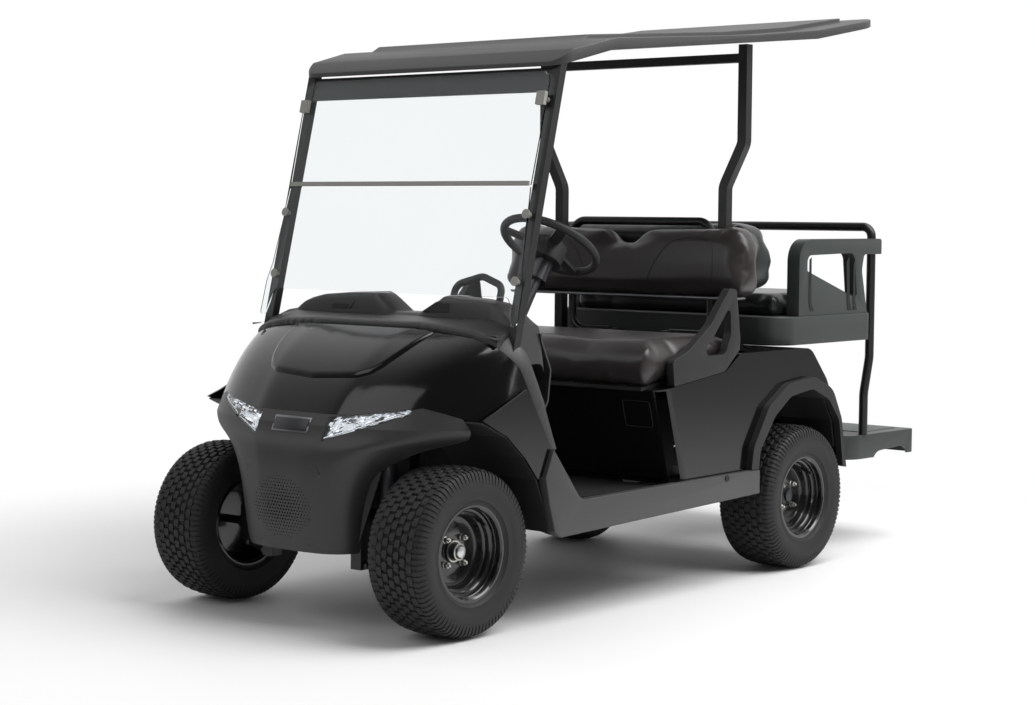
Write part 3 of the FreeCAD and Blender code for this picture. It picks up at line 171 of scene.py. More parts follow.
@dataclass(frozen=True)
class Finish:
    """One material of the cart, from its real make-up.

    Attributes:
        name: The finish's plain name.
        colour: Its sRGB colour.
        second: The colour it drifts to, where the surface varies.
        rough: Mean roughness.
        metal: Metallic share.
        ior: Index of refraction.
        coat: Clear coat weight.
        relief: Its small surface form.
        grain_mm: The size of that form, in millimetres.
        bump: How deep the form reads.
        sheen: Sheen weight.
        clear: Transmission weight.
        drift: How many patches of the second colour lie along a metre.
        swing: The roughness' least and greatest share of its mean.
        relief_share: The relief's depth as a share of its grain.
    """

    name: str
    colour: str
    second: str
    rough: float
    metal: float = 0.0
    ior: float = 1.5
    coat: float = 0.0
    relief: Relief = Relief.MOULDED
    grain_mm: float = 1.0
    bump: float = 0.1
    sheen: float = 0.0
    clear: float = 0.0
    drift: float = 3.1
    swing: Flat = (0.88, 1.12)
    relief_share: float = 0.3

    def build(self) -> bpy.types.Material:
        """Makes the material's nodes once and gives the material back."""
        known = bpy.data.materials.get(self.name)
        if known:
            return known
        material = bpy.data.materials.new(self.name)
        material.use_nodes = True
        tree = material.node_tree
        shader = tree.nodes["Principled BSDF"]
        place = add_node(tree, "ShaderNodeTexCoord").outputs["Object"]
        drift = add_node(tree, "ShaderNodeTexNoise", inputs={"Vector": place, "Scale": self.drift, "Detail": 4.0})
        # A Mix node's colour sockets share their names with the others, so they go by index.
        colour = add_node(tree, "ShaderNodeMix", {"data_type": "RGBA"}, {
            "Factor": drift.outputs["Fac"], 6: linear(self.colour), 7: linear(self.second)})
        tree.links.new(colour.outputs[2], shader.inputs["Base Color"])
        shade = add_node(tree, "ShaderNodeMapRange", inputs={
            "Value": drift.outputs["Fac"], "To Min": self.rough * self.swing[0],
            "To Max": min(self.rough * self.swing[1], 1.0)})
        tree.links.new(shade.outputs["Result"], shader.inputs["Roughness"])
        for socket, value in {"Metallic": self.metal, "IOR": self.ior, "Coat Weight": self.coat,
                              "Coat Roughness": 0.04, "Sheen Weight": self.sheen,
                              "Transmission Weight": self.clear}.items():
            shader.inputs[socket].default_value = value
        height = self.height(tree, place)
        if height is not None:
            bump = add_node(tree, "ShaderNodeBump", inputs={
                "Strength": self.bump, "Distance": self.grain_mm * MM * self.relief_share, "Height": height})
            tree.links.new(bump.outputs["Normal"], shader.inputs["Normal"])
        return material

    def height(self, tree: bpy.types.NodeTree, place: bpy.types.NodeSocket) -> bpy.types.NodeSocket | None:
        """Adds the texture of the finish's relief.

        Args:
            tree: The material's node tree.
            place: The coordinates that the texture reads.

        Returns:
            The socket with the height, or None for a plain surface.
        """
        scale = 1 / (self.grain_mm * MM)
        if self.relief is Relief.PLAIN:
            return None
        if self.relief is Relief.LEATHER:
            cells = add_node(tree, "ShaderNodeTexVoronoi", {"feature": "DISTANCE_TO_EDGE"},
                             {"Vector": place, "Scale": scale})
            edge = add_node(tree, "ShaderNodeMapRange", inputs={"Value": cells.outputs["Distance"], "From Max": 0.25})
            return edge.outputs["Result"]
        if self.relief is Relief.TURNED:
            # The wave texture draws about three rings to its unit.
            wave = add_node(tree, "ShaderNodeTexWave", {"wave_type": "RINGS", "rings_direction": "X"},
                            {"Vector": place, "Scale": scale * 0.3})
            return wave.outputs["Fac"]
        detail = {Relief.SPRAYED: 1.0, Relief.MOULDED: 3.0, Relief.CAST: 8.0}[self.relief]
        noise = add_node(tree, "ShaderNodeTexNoise", inputs={"Vector": place, "Scale": scale, "Detail": detail})
        return noise.outputs["Fac"]


class Paint:
    """The cart's finishes, by what each real one is.

    A grain finer than a millimetre doesn't show in the render, so such grains are drawn 1 to 3 mm wide.
    """

    # Sprayed iron of the hub: a low gloss that parts it from the blacker wheel.
    HUB = Finish("painted_hub_iron", "1D2022", "24282A", 0.32, relief=Relief.SPRAYED, grain_mm=2.0)
    # Vacuum-metallised lamp facets: bright, with a little haze.
    REFLECTOR = Finish("metallised_reflector", "E6E7EA", "F0F1F4", 0.12, metal=1.0, relief=Relief.PLAIN)
    # Near-black plates of painted shade: they stand in for the shade inside the dash's open pockets and the armrests'
    # channels.
    POCKET_SHADE = Finish("pocket_shade", "0A0A0B", "0D0D0E", 0.6, grain_mm=1.4)
    # Bare plate between the lamps: dark satin with a brighter frame.
    BADGE = Finish("bare_badge_plate", "3C3C3E", "444446", 0.34, metal=0.7, relief=Relief.SPRAYED, bump=0.05)
    # The badge's bright metal frame, whose pale grey also paints a highlight line round the plate, and the strip under
    # the seat's back, a painted highlight line.
    EDGE_HIGHLIGHT = Finish("bright_badge_frame", "77787B", "838487", 0.3, metal=0.9, relief=Relief.SPRAYED, bump=0.04)
    # Machined aluminium cap with a fine turned face.
    CAP = Finish("machined_cap", "C9CACB", "D3D4D5", 0.32, metal=1.0, relief=Relief.TURNED, grain_mm=1.2, bump=0.05)
    # Thermoformed acrylic-capped panels: wet gloss with a faint drawn-sheet ripple.
    GLOSS_BODY = Finish("gloss_acrylic_panel", "0A0A0B", "0D0D0E", 0.13, ior=1.42, coat=0.1,
                        relief=Relief.SPRAYED, grain_mm=9.0, bump=0.03)
    # Injection-moulded polypropylene with a fine spark-eroded grain: soft, wide highlights.
    SATIN_BODY = Finish("satin_polypropylene", "2E2D2E", "333233", 0.44, grain_mm=1.4, bump=0.12)
    # Rotomoulded polyethylene canopy, dull on top.
    ROOF = Finish("rotomoulded_canopy", "343435", "3A3A3B", 0.5, grain_mm=2.4, bump=0.12)
    # Coarser polypropylene of the rocker, a step greyer than the body over it.
    ROCKER = Finish("grey_polypropylene", "393939", "3F3F3F", 0.45, grain_mm=1.6, bump=0.12)
    # Unpainted black mouldings: they swallow light, so arches and housings read as deep.
    LINER = Finish("black_polypropylene", "161617", "1C1C1D", 0.55, grain_mm=1.8, bump=0.15)
    # Glass-filled rear kit mouldings with a green-grey cast.
    KIT = Finish("glass_filled_moulding", "2E3331", "363B39", 0.44, grain_mm=1.6, bump=0.14)
    # Powder-coated steel: low orange peel.
    STEEL = Finish("powder_coated_steel", "121313", "181919", 0.36, relief=Relief.SPRAYED, grain_mm=2.2)
    # Sand-cast knuckles and axle: rough, with dull broken glints.
    CAST = Finish("cast_iron", "2C2C2D", "38373A", 0.6, metal=0.6, relief=Relief.CAST, grain_mm=3.0, bump=0.3)
    # Lacquered coils and rods: a tight glint along each bar.
    SPRING = Finish("lacquered_spring_steel", "3A3A3D", "424246", 0.35, metal=0.5, relief=Relief.SPRAYED,
                    grain_mm=2.0, bump=0.08)
    # Enamelled wheel: wet black, so that its steps show as sharp bright rings.
    RIM = Finish("enamelled_wheel_steel", "131314", "1A1A1B", 0.24, coat=0.5, relief=Relief.SPRAYED, grain_mm=3.0,
                 bump=0.06)
    # Vulcanised tread: dusty black, the dullest surface of the cart.
    TYRE = Finish("tyre_rubber", "171718", "1E1E1F", 0.66, grain_mm=1.2, bump=0.2)
    # Soft moulded rubber of mat, grips and pedals: black with a faint bloom.
    RUBBER = Finish("moulded_rubber", "121213", "18181A", 0.6, grain_mm=1.5, bump=0.16)
    # Brushed column tube, passivated.
    COLUMN = Finish("drawn_steel_tube", "4A4A4C", "5A5A5C", 0.3, metal=1.0, relief=Relief.SPRAYED, grain_mm=1.2,
                    bump=0.05)
    # Bright plated trim of the lamps: a mirror line.
    CHROME = Finish("bright_chrome", "D9DADC", "E2E3E5", 0.08, metal=1.0, relief=Relief.PLAIN)
    # Zinc-plated nuts: pale and slightly blurred.
    ZINC = Finish("zinc_plated_steel", "A9A8A4", "B7B6B2", 0.3, metal=1.0, relief=Relief.SPRAYED, bump=0.05)
    # Moulded nylon clips of the windshield: flat mid grey.
    CLIP = Finish("grey_nylon", "8D8C87", "979691", 0.5)
    # Expanded vinyl over foam, leather-grained.
    SEAT = Finish("brown_grey_vinyl", "2A2625", "322D2C", 0.32, relief=Relief.LEATHER, grain_mm=2.0, bump=0.12,
                  sheen=0.05)
    # The same vinyl at the rear, colder and a little glossier.
    REAR_SEAT = Finish("black_green_vinyl", "151B19", "1B2220", 0.3, relief=Relief.LEATHER, grain_mm=2.0, sheen=0.05)
    # Pressed and sewn lines of the covers: a thin dark thread line.
    WELT = Finish("sewn_welt", "1A1716", "221E1D", 0.6)
    # Moulded battery case, and the access cover's seam: plain dark grey.
    BATTERY = Finish("battery_case_plastic", "232325", "2B2B2D", 0.5, grain_mm=1.6, bump=0.12)
    # Extruded acrylic, 5 mm: clear with a faint cool tint.
    GLAZING = Finish("clear_acrylic_sheet", "F4F7F8", "F6F9FA", 0.02, ior=1.3, relief=Relief.PLAIN, clear=1.0)
    # Moulded polycarbonate lens: clear, so the facets behind it carry the light.
    LENS = Finish("polycarbonate_lens", "F0F3F5", "F4F6F8", 0.03, ior=1.3, relief=Relief.PLAIN, clear=1.0)
    # Dyed acrylic tail lens: deep red under a clear gloss.
    TAIL = Finish("red_acrylic_lens", "7A0A0C", "8A1012", 0.15, coat=0.6, relief=Relief.PLAIN)


NODE_FINISH: dict[str, Finish] = {
    "tyre": Paint.TYRE, "rim": Paint.RIM, "knuckle": Paint.CAST, "front_suspension_arms": Paint.STEEL,
    "suspension_springs": Paint.SPRING, "tie_rods": Paint.SPRING, "chassis_frame": Paint.STEEL,
    "rear_axle": Paint.CAST, "battery_pack": Paint.BATTERY, "front_cowl": Paint.GLOSS_BODY,
    "headlights": Paint.LENS, "front_fascia": Paint.SATIN_BODY, "grille_panel": Paint.SATIN_BODY,
    "dashboard": Paint.SATIN_BODY, "floor_mat": Paint.RUBBER, "rocker_panels": Paint.ROCKER,
    "wheel_liners": Paint.LINER, "rear_body": Paint.GLOSS_BODY, "tail_lamps": Paint.TAIL, "roof": Paint.ROOF,
    "front_hoop": Paint.STEEL, "rear_hoop": Paint.STEEL, "windshield_panes": Paint.GLAZING,
    "windshield_fittings": Paint.CLIP, "steering_column": Paint.COLUMN, "steering_wheel": Paint.RUBBER,
    "dash_grab_handle": Paint.RUBBER, "pedals": Paint.RUBBER, "seat_board": Paint.LINER,
    "seat_cushion": Paint.SEAT, "seat_back": Paint.SEAT, "rear_backrest": Paint.REAR_SEAT,
    "rear_seat_cushion": Paint.REAR_SEAT, "hip_restraints": Paint.LINER, "rear_seat_tub": Paint.KIT,
    "rear_armrests": Paint.KIT, "footplate": Paint.KIT, "rear_kit_frame": Paint.STEEL}


def dress_nodes() -> None:
    """Gives every CAD node its finish."""
    for name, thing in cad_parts.items():
        for start, finish in NODE_FINISH.items():
            if name.startswith(start):
                thing.data.materials.clear()
                thing.data.materials.append(finish.build())
        log.info("dressed %s", name)


class Bench:
    """Shapes meshes with Blender's own operators, as a modeller does by hand."""

    @staticmethod
    def clear() -> None:
        """Leaves edit mode and deselects everything."""
        if bpy.context.mode != "OBJECT":
            bpy.ops.object.mode_set(mode="OBJECT")
        bpy.ops.object.select_all(action="DESELECT")

    @staticmethod
    def only(thing: Thing) -> Thing:
        """Selects one object alone, makes it active and gives it back."""
        Bench.clear()
        thing.select_set(True)
        bpy.context.view_layer.objects.active = thing
        return thing

    @staticmethod
    def edit(thing: Thing, whole: bool = True) -> None:
        """Opens one object in edit mode.

        Args:
            thing: The object.
            whole: Whether all of its mesh starts selected.
        """
        Bench.only(thing)
        bpy.ops.object.mode_set(mode="EDIT")
        bpy.ops.mesh.select_all(action="SELECT" if whole else "DESELECT")

    @staticmethod
    def close() -> None:
        """Leaves edit mode."""
        bpy.ops.object.mode_set(mode="OBJECT")

    @staticmethod
    def shed(thing: Thing, test: Callable[[Vector], bool]) -> None:
        """Deletes the faces whose normal passes a test."""
        Bench.edit(thing, whole=False)
        bpy.ops.mesh.select_mode(type="FACE")
        Bench.close()
        for face in thing.data.polygons:
            face.select = test(face.normal)
        bpy.ops.object.mode_set(mode="EDIT")
        bpy.ops.mesh.delete(type="FACE")
        Bench.close()

    @staticmethod
    def line(points: Sequence[Vector]) -> Thing:
        """Draws a chain of edges by extruding one vertex from point to point."""
        Bench.clear()
        bpy.ops.mesh.primitive_plane_add(size=MM, location=(0, 0, 0))
        bpy.ops.object.mode_set(mode="EDIT")
        bpy.ops.mesh.select_mode(type="VERT")
        bpy.ops.mesh.merge(type="CENTER")
        bpy.ops.transform.translate(value=points[0])
        for start, end in zip(points, points[1:]):
            bpy.ops.mesh.extrude_vertices_move(TRANSFORM_OT_translate={"value": end - start})
        Bench.close()
        return bpy.context.object

    @staticmethod
    def outward(thing: Thing, merge_mm: float = 0.05) -> Thing:
        """Merges doubles and turns the faces outwards."""
        Bench.edit(thing)
        bpy.ops.mesh.remove_doubles(threshold=merge_mm * MM)
        bpy.ops.mesh.normals_make_consistent(inside=False)
        Bench.close()
        return thing

    @staticmethod
    def turned(profile: Sequence[Point], centre: Vector, axis: Vector, steps: int = 64) -> Thing:
        """Spins a profile round an axis into a closed turned piece.

        Args:
            profile: (distance along the axis, radius) pairs in millimetres.
            centre: Where the axis' zero lies, in metres.
            axis: The axis' direction.
            steps: How many steps make a full turn.

        Returns:
            The turned object.
        """
        along = axis.normalized()
        side = along.orthogonal().normalized()
        thing = Bench.line([centre + (along * p[0] + side * max(p[1], 0.0)) * MM for p in profile])
        Bench.edit(thing)
        bpy.ops.mesh.spin(steps=steps, angle=math.tau, center=centre, axis=along)
        return Bench.outward(thing)

    @staticmethod
    def plate(outline: Sequence[Vector], run: Vector, bevel_mm: float = 0.0, segments: int = 2) -> Thing:
        """Fills an outline and extrudes it, its edges bevelled.

        Args:
            outline: The corners, in metres.
            run: The way and length of the extrusion, in metres.
            bevel_mm: The bevel's width.
            segments: The bevel's segments.

        Returns:
            The plate.
        """
        thing = Bench.line(list(outline))
        Bench.edit(thing)
        bpy.ops.mesh.edge_face_add()
        bpy.ops.mesh.extrude_region_move(TRANSFORM_OT_translate={"value": run})
        Bench.close()
        Bench.outward(thing)
        if bevel_mm:
            Bench.bevel(thing, bevel_mm, segments)
        return thing

    @staticmethod
    def bevel(thing: Thing, width_mm: float, segments: int = 2, angle: float = 35.0) -> Thing:
        """Rounds the edges sharper than an angle."""
        tool = thing.modifiers.new("bevel", "BEVEL")
        tool.width = width_mm * MM
        tool.segments = segments
        tool.limit_method = "ANGLE"
        tool.angle_limit = math.radians(angle)
        return Bench.apply(thing, tool)

    @staticmethod
    def apply(thing: Thing, tool: bpy.types.Modifier) -> Thing:
        """Applies one modifier."""
        Bench.only(thing)
        bpy.ops.object.modifier_apply(modifier=tool.name)
        return thing

    @staticmethod
    def wall(thing: Thing, thick_mm: float) -> Thing:
        """Thickens a sheet inwards."""
        tool = thing.modifiers.new("wall", "SOLIDIFY")
        tool.thickness = thick_mm * MM
        tool.offset = -1.0
        return Bench.apply(thing, tool)

    @staticmethod
    def soften(thing: Thing, times: int) -> Thing:
        """Evens a mesh out by repeated smoothing."""
        tool = thing.modifiers.new("soft", "SMOOTH")
        tool.iterations = times
        tool.factor = 0.6
        return Bench.apply(thing, tool)

    @staticmethod
    def carve(thing: Thing, cutter: Thing) -> Thing:
        """Cuts one piece out of another and deletes the cutter."""
        tool = thing.modifiers.new("carve", "BOOLEAN")
        tool.operation = "DIFFERENCE"
        tool.solver = "EXACT"
        tool.object = cutter
        Bench.apply(thing, tool)
        bpy.data.objects.remove(cutter)
        return thing

    @staticmethod
    def sheet(columns: int, points: Sequence[Vector]) -> Thing:
        """Lays a grid of faces through points, row after row.

        Args:
            columns: How many points a row has.
            points: The points, in metres.

        Returns:
            The sheet.
        """
        rows = len(points) // columns
        bpy.ops.mesh.primitive_grid_add(x_subdivisions=columns - 1, y_subdivisions=rows - 1, size=1)
        thing = bpy.context.object
        for vertex, point in zip(thing.data.vertices, points):
            vertex.co = point
        return Bench.outward(thing)

    @staticmethod
    def copy(thing: Thing, shift: Vector | None = None, mirror: bool = False) -> Thing:
        """Copies a piece with its own mesh.

        Args:
            thing: The piece.
            shift: How far the copy's mesh moves, in metres.
            mirror: Whether the copy is mirrored across the cart's middle.

        Returns:
            The copy.
        """
        twin = thing.copy()
        twin.data = thing.data.copy()
        bpy.context.scene.collection.objects.link(twin)
        Bench.edit(twin)
        if mirror:
            bpy.ops.transform.mirror(constraint_axis=(True, False, False), center_override=(0, 0, 0))
            bpy.ops.mesh.flip_normals()
        if shift is not None:
            bpy.ops.transform.translate(value=shift)
        Bench.close()
        return twin

    @staticmethod
    def ring(thing: Thing, count: int, centre: Vector, axis: Vector) -> Thing:
        """Repeats a mesh round an axis until it meets itself."""
        Bench.edit(thing)
        bpy.ops.mesh.spin(steps=count - 1, dupli=True, angle=math.tau * (count - 1) / count, center=centre,
                          axis=axis)
        Bench.close()
        return thing

    @staticmethod
    def join(things: Sequence[Thing]) -> Thing:
        """Joins several meshes into the first."""
        Bench.clear()
        for thing in things:
            thing.select_set(True)
        bpy.context.view_layer.objects.active = things[0]
        if len(things) > 1:
            bpy.ops.object.join()
        return things[0]

    @staticmethod
    def merged_node(name: str) -> Thing:
        """Copies a CAD node's mesh and merges its loose triangles."""
        twin = Bench.copy(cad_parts[name])
        twin.parent = None
        twin.matrix_world = Matrix()
        Bench.edit(twin)
        bpy.ops.mesh.remove_doubles(threshold=0.02 * MM)
        Bench.close()
        twin.data.materials.clear()
        return twin

    @staticmethod
    def pipe(name: str, points: Sequence[Vector], radius_mm: float, closed: bool = False) -> Thing:
        """Runs a round section along a smooth line through points.

        Args:
            name: The curve's name.
            points: The points, in metres.
            radius_mm: The section's radius.
            closed: Whether the line is a loop.

        Returns:
            The pipe as a mesh.
        """
        data = bpy.data.curves.new(name, "CURVE")
        data.dimensions = "3D"
        line = data.splines.new("NURBS")
        line.points.add(len(points) - 1)
        for knot, point in zip(line.points, points):
            knot.co = (*point, 1.0)
        line.order_u = 3
        line.use_endpoint_u = not closed
        line.use_cyclic_u = closed
        data.bevel_depth = radius_mm * MM
        data.bevel_resolution = 3
        data.resolution_u = 6
        data.use_fill_caps = True
        thing = bpy.data.objects.new(name, data)
        bpy.context.scene.collection.objects.link(thing)
        Bench.only(thing)
        bpy.ops.object.convert(target="MESH")
        return Bench.outward(bpy.context.object)

    @staticmethod
    def done(thing: Thing, name: str, finish: Finish, body: str, smooth: float = 35.0,
             stands_for: Sequence[str] = ()) -> Thing:
        """Names, finishes, smooths and mounts a piece.

        Args:
            thing: The piece.
            name: Its name.
            finish: Its finish.
            body: The body that it rides on.
            smooth: The angle below which edges are smooth, in degrees.
            stands_for: The CAD nodes that it replaces.

        Returns:
            The piece.
        """
        Bench.only(thing)
        bpy.ops.object.shade_smooth_by_angle(angle=math.radians(smooth))
        thing.name = name
        thing.data.name = name
        thing.data.materials.clear()
        thing.data.materials.append(finish.build())
        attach(thing, body)
        if stands_for:
            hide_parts(*stands_for)
        log.info("made %s: %d faces", name, len(thing.data.polygons))
        return thing


@dataclass
class TurfTyre:
    """One ribless turf tyre: a moulded carcass, staggered tread blocks and shoulder bars.

    Attributes:
        radius: Outer radius over the tread, in millimetres.
        bead: Radius at the bead.
        lip: Radius where the sidewall meets the rim's flange.
        crown_drop: How much lower the tread is 90 mm out from its middle.
        pitch_count: Blocks round the tread.
        columns: Columns of blocks across it.
        span: The width that the columns share.
        block: A block's width.
        groove: The gap between a block and the next round the tread.
        depth: How far the blocks stand off the carcass.
        sink: How far they reach into it.
        bar: A shoulder bar's width.
    """

    radius: float = 245.0
    bead: float = 127.5
    lip: float = 143.0
    crown_drop: float = 9.0
    pitch_count: int = 46
    columns: int = 7
    span: float = 156.0
    block: float = 21.0
    groove: float = 6.5
    depth: float = 7.0
    sink: float = 2.5
    bar: float = 10.4

    def crown(self, x: float) -> float:
        """The tread's radius at a distance from its middle."""
        return self.radius - self.crown_drop * (abs(x) / 90.0) ** 2.6

    def carcass(self, centre: Vector) -> Thing:
        """Spins the sidewalls and the floor of the tread."""
        floor = self.radius - self.depth
        half = [(80.0, self.bead), (86.0, self.bead + 3), (88.5, self.lip + 1), (93.0, self.lip + 6),
                (97.0, self.lip + 9), (96.0, self.lip + 12), (101.0, 172.0), (103.5, 190.0), (103.0, 206.0),
                (99.0, 219.0), (93.0, floor - 7), (80.0, floor - 3), (55.0, floor - 0.8), (0.0, floor)]
        profile = half + [(-x, r) for x, r in half[-2::-1]]
        return Bench.turned(profile + profile[:1], centre, AXLE_WAY, 96)

    def block_at(self, centre: Vector, x: float, turn: float) -> Thing:
        """Models one tread block with its waved sides.

        Args:
            centre: The wheel's centre, in metres.
            x: The block's distance from the middle of the tread.
            turn: Its angle round the tyre.

        Returns:
            The block.
        """
        pitch = math.tau * self.radius / self.pitch_count
        half_x, half_run = self.block / 2, (pitch - self.groove) / 2
        shape = [(-0.55, -1.0), (0.1, -0.86), (0.75, -1.0), (1.0, -0.35), (0.86, 0.15), (1.0, 0.6), (0.55, 1.0),
                 (-0.1, 0.86), (-0.75, 1.0), (-1.0, 0.35), (-0.86, -0.15), (-1.0, -0.6)]
        top = self.crown(x)
        foot = self.radius - self.depth - self.sink
        outline = [self.on_tread(centre, x + u * half_x, turn + v * half_run / self.radius, foot) for u, v in shape]
        middle = self.on_tread(centre, x, turn, foot)
        rise = (middle - centre - Vector((x * MM, 0, 0))).normalized() * (top - foot) * MM
        block = Bench.line(outline)
        Bench.edit(block)
        bpy.ops.mesh.edge_face_add()
        bpy.ops.mesh.extrude_region_move(TRANSFORM_OT_translate={"value": rise * 0.82})
        bpy.ops.mesh.extrude_region_move(TRANSFORM_OT_translate={"value": rise * 0.18})
        bpy.ops.transform.resize(value=(0.88, 0.88, 0.88))
        Bench.close()
        return block

    def on_tread(self, centre: Vector, x: float, turn: float, radius: float) -> Vector:
        """A point at a distance across, an angle round and a radius."""
        return centre + Vector((x, radius * math.sin(turn), radius * math.cos(turn))) * MM

    def shoulder_bar(self, centre: Vector, side: int, turn: float) -> Thing:
        """Models one bar that runs over the shoulder onto the sidewall."""
        half_run = self.bar / 2 / self.radius
        rows = [(76.0, self.crown(76) - 1.5), (90.0, self.crown(90) - 0.5), (98.0, 229.0), (102.5, 214.0),
                (104.0, 203.0)]
        feet = [(76.0, 233.0), (88.0, 229.0), (95.0, 220.0), (100.0, 210.0), (101.5, 201.0)]
        ring = rows + feet[::-1]
        outline = [self.on_tread(centre, side * x, turn - half_run, r) for x, r in ring]
        bar = Bench.line(outline)
        Bench.edit(bar)
        bpy.ops.mesh.edge_face_add()
        across = self.on_tread(centre, 0, turn + half_run, 225) - self.on_tread(centre, 0, turn - half_run, 225)
        bpy.ops.mesh.extrude_region_move(TRANSFORM_OT_translate={"value": across})
        Bench.close()
        return bar

    def build(self, centre: Vector) -> Thing:
        """Models one whole tyre.

        Args:
            centre: The wheel's centre, in metres.

        Returns:
            The tyre.
        """
        step = math.tau / self.pitch_count
        spread = self.span / self.columns
        blocks = []
        for column in range(self.columns):
            x = (column - (self.columns - 1) / 2) * spread
            blocks.append(self.block_at(centre, x, step * (0.5 if column % 2 else 0.0)))
        for side in (1, -1):
            blocks.append(self.shoulder_bar(centre, side, step * 0.15))
            blocks.append(self.shoulder_bar(centre, side, step * 0.65))
        tread = Bench.outward(Bench.join(blocks), 0.01)
        Bench.ring(tread, self.pitch_count, centre, AXLE_WAY)
        return Bench.join([self.carcass(centre), tread])


@dataclass
class SteelWheel:
    """One pressed steel wheel with its hub, studs, nuts, cap and valve.

    Attributes:
        face: How far the disc stands out of the wheel's middle plane, in millimetres.
        bolt_circle: Diameter of the ring of nuts.
        front: Whether it carries the long front hub with its bright cap.
    """

    face: float = 15.0
    bolt_circle: float = 101.6
    front: bool = True

    def barrel(self, centre: Vector, axis: Vector) -> Thing:
        """Spins the stepped barrel, the curled lips and the dished disc."""
        outer = [(self.face - 4, 0), (self.face, 0), (self.face, 30), (self.face + 1.5, 38), (self.face + 1.5, 66),
                 (self.face - 1, 74), (self.face - 3, 92), (self.face, 99), (self.face + 6, 103),
                 (34, 105), (38, 108), (40, 114), (52, 115), (56, 118), (58, 124), (66, 126), (70, 130),
                 (82, 131), (85, 134), (86, 138), (84.5, 140.6), (86, 142), (88.2, 141), (89, 137), (88.6, 132)]
        back = [(84, 127.4), (-84, 127.2), (-88, 131), (-89, 138), (-88, 142), (-85, 142), (-84, 133), (-80, 123),
                (self.face - 14, 121), (self.face - 8, 103), (self.face - 7, 92)]
        return Bench.turned(outer + back + outer[:1], centre, axis, 96)

    def off_face(self, gap: float, profile: Sequence[Flat]) -> list[Flat]:
        """Moves a profile to where it stands a gap off the disc's face."""
        return [(self.face + gap + along, radius) for along, radius in profile]

    def hub(self, centre: Vector, axis: Vector) -> Thing:
        """Spins the hub's dark boss, long at the front and short at the rear."""
        long = [(0, 0), (0, 31), (3, 31), (5, 27), (22, 22), (25, 22), (25, 0)]
        short = [(0, 0), (0, 34), (6, 32), (10, 22), (18, 20), (19, 12), (20, 0)]
        return Bench.turned(self.off_face(1, long if self.front else short), centre, axis, 48)

    def bright(self, centre: Vector, axis: Vector) -> Thing:
        """Models the plated nuts with their studs, and at the front the rings round the hub and its cap."""
        side = axis.orthogonal().normalized()
        nut = Bench.turned(self.off_face(1.5, [(0, 0), (0, 11), (3, 11), (4, 9.4), (13, 9.4), (15, 7.8), (15, 5.2),
                                               (21, 5.2), (22, 4), (22, 0)]),
                           centre + side * self.bolt_circle / 2 * MM, axis, 6)
        pieces = [Bench.ring(nut, 4, centre, axis)]
        if self.front:
            for ring in ([(3, 30.4), (4, 32.2), (6.5, 31.4), (6.5, 27), (3, 30.4)],
                         [(23, 22), (23, 24.4), (26, 24.8), (27, 22.4), (27, 20.5), (25, 20.5), (23, 22)]):
                pieces.append(Bench.turned(self.off_face(1.5, ring), centre, axis, 48))
        return Bench.join(pieces)

    def cap(self, centre: Vector, axis: Vector) -> Thing:
        """Spins the bright grease cap."""
        dome = [(0, 0), (0, 17.5), (8, 17.2), (10.5, 15.6), (12, 11), (12.6, 0)]
        return Bench.turned(self.off_face(24, dome), centre, axis, 48)

    def valve(self, centre: Vector, axis: Vector) -> Thing:
        """Spins the rubber valve that leans out of the barrel."""
        side = axis.orthogonal().normalized()
        root = centre + axis * 47 * MM + side * 115 * MM
        lean = (axis * 0.9 - side * 0.42).normalized()
        return Bench.turned([(-4, 0), (-4, 8), (2, 6.4), (6, 4.4), (22, 4.0), (24, 4.8), (32, 4.8), (33, 3.6),
                             (33, 0)], root, lean, 16)


@dataclass
class RunningGear:
    """The four wheels with their tyres, each on its own body.

    Attributes:
        front_x: Half the front track, in millimetres.
        rear_x: Half the rear track.
        rear_y: The rear axle's distance behind the front one.
        height: The axles' height.
    """

    front_x: float = 456.0
    rear_x: float = 495.0
    rear_y: float = 1669.0
    height: float = 245.0

    def build(self) -> None:
        """Models one tyre and the two kinds of wheel, and copies them to their places."""
        home = spot(self.front_x, 0, self.height)
        tyre = TurfTyre().build(home)
        for end, place, kind in (("front", home, SteelWheel()),
                                 ("rear", spot(self.rear_x, self.rear_y, self.height), SteelWheel(front=False))):
            sets = [("rim", kind.barrel(place, AXLE_WAY), Paint.RIM), ("hub", kind.hub(place, AXLE_WAY), Paint.HUB),
                    ("nuts", kind.bright(place, AXLE_WAY), Paint.ZINC),
                    ("valve", kind.valve(place, AXLE_WAY), Paint.RUBBER)]
            if kind.front:
                sets.append(("cap", kind.cap(place, AXLE_WAY), Paint.CAP))
            for hand in Hand:
                side = hand.name.lower()
                flip = hand is Hand.RIGHT
                body = f"{end}_{side}_wheel"
                twin = Bench.copy(tyre, place - home, flip)
                Bench.done(twin, f"turf_tyre_{end}_{side}", Paint.TYRE, body, 40, [f"tyre_{end}_{side}"])
                for word, thing, finish in sets:
                    twin = Bench.copy(thing, None, flip)
                    stands = [f"rim_{end}_{side}"] if word == "rim" else []
                    Bench.done(twin, f"wheel_{word}_{end}_{side}", finish, body, 30, stands)
            for _, thing, _ in sets:
                bpy.data.objects.remove(thing)
        bpy.data.objects.remove(tyre)


